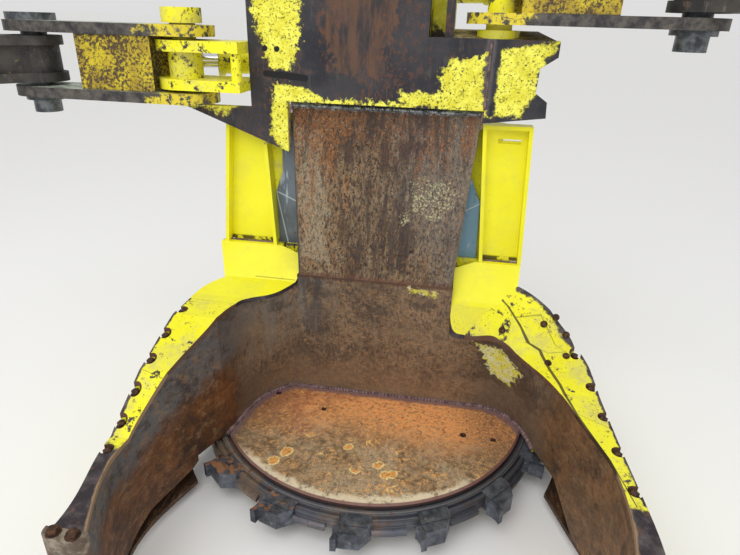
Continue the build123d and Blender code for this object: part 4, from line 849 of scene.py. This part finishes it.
# Claws and pins
# The claws are hard bare plate, dark with bark and oil. Pins are turned steel with a washer on top.
clawed = Finish("dark_claw_steel")
hide = clawed.mottle((0.03, 0.028, 0.028), (0.09, 0.082, 0.075), (0.35, 0.65), 7, 8.0, 0.65)
hide = clawed.fleck(hide, (0.17, 0.11, 0.07), 0.6, (0.56, 0.66), 40, 8.0, 0.7)
hide = clawed.fleck(hide, (0.24, 0.23, 0.22), 0.4, (0.58, 0.68), 50, 8.0, 0.72, (1, 1, 0.3))
hide = clawed.fleck(hide, (0.6, 0.48, 0.05), 0.8, (0.63, 0.65), 9, 9.0, 0.7)
clawed.lay(hide, 0.45 + clawed.grain(25) * 0.25, 0.3, clawed.grain(35, 8.0, 0.7), 0.0025)
dress(clawed, "claw_left", "claw_right")

pinned = Finish("turned_pin_steel")
gun = pinned.mottle((0.06, 0.066, 0.075), (0.2, 0.21, 0.22), (0.4, 0.65), 30, 7.0)
slot = pinned.near(pinned.x, pinned.y, [(-1.163, -0.07), (-1.107, -0.03)], [(0.81, -0.075), (0.866, -0.045)])
slot = (1 - pinned.step(slot, 0.007, 0.009)) * pinned.step(pinned.up, 0.5, 0.9)
pinned.lay(pinned.blend(slot, gun, (0.015, 0.014, 0.014)), 0.38, 0.5, pinned.grain(60) - slot * 3, 0.001)
dress(pinned, "elbow_pin_left", "elbow_pin_right")

polished = Finish("rod_chrome")
polished.lay((0.7, 0.7, 0.72), 0.08 + polished.grain(30) * 0.12, 1.0)
dress(polished, "rod_left", "rod_right")


# Saw motor
# A cast housing bolted to the deck behind the pocket wall.
cast = Finish("painted_motor_iron")
iron = cast.blend(cast.grain(12), (0.02, 0.02, 0.022), (0.06, 0.055, 0.05))
cast.lay(iron, 0.6, 0.2, cast.grain(90, 6.0), 0.0015)
dress(cast, "saw_motor")


# Floor, light and camera
# A wide pale floor under an even sky, seen from in front and above.
floor_size, below_skids = 2000, 0.0005
floor = fresh(bpy.ops.mesh.primitive_plane_add, size=floor_size, location=(0, 0, -below_skids))
floor.name = "floor"
ground = Finish("pale_floor")
ground.lay((0.93, 0.925, 0.91), 0.9, 0.0)
floor.data.materials.append(ground.material)

world = bpy.data.worlds.new("even_sky")
bpy.context.scene.world = world
world.use_nodes = True
sky = world.node_tree
light_path = sky.nodes.new("ShaderNodeLightPath")
seen = sky.nodes.new("ShaderNodeMath")
seen.operation = "MAXIMUM"
sky.links.new(light_path.outputs["Is Camera Ray"], seen.inputs[0])
sky.links.new(light_path.outputs["Is Glossy Ray"], seen.inputs[1])
lighting, background = 0.78, 0.73
strength = sky.nodes.new("ShaderNodeMapRange")
strength.inputs["To Min"].default_value = lighting
strength.inputs["To Max"].default_value = background
sky.links.new(seen.outputs[0], strength.inputs["Value"])
sky.links.new(strength.outputs[0], sky.nodes["Background"].inputs["Strength"])
sky.nodes["Background"].inputs["Color"].default_value = (1, 1, 1, 1)

bpy.ops.object.select_all(action="DESELECT")
bpy.ops.object.light_add(type="AREA", location=(-0.7, -3.3, 4.2))
lamp = bpy.context.object
lamp.data.size = 3.5
lamp.data.energy = 108
lamp.rotation_euler = (Vector((0, -0.2, 0.6)) - lamp.location).to_track_quat("-Z", "Y").to_euler()

# The camera stands in front of the mouth, a little to the right, turned and tilted as in the photo.
eye = Vector((0.2385, -1.8058, 1.4891))
pitch, yaw, roll = radians(24.813), radians(-8.384), radians(1.713)
ahead = Vector((sin(yaw) * cos(pitch), cos(yaw) * cos(pitch), -sin(pitch)))
right = Vector((cos(yaw), -sin(yaw), 0))
above = right.cross(ahead)
right, above = cos(roll) * right + sin(roll) * above, -sin(roll) * right + cos(roll) * above
bpy.ops.object.camera_add()
camera = bpy.context.object
camera.matrix_world = Matrix.Translation(eye) @ Matrix((right, above, -ahead)).transposed().to_4x4()
camera.data.sensor_width = 36.0
camera.data.lens = 27.05
bpy.context.scene.camera = camera
bpy.context.scene.view_settings.view_transform = "Standard"
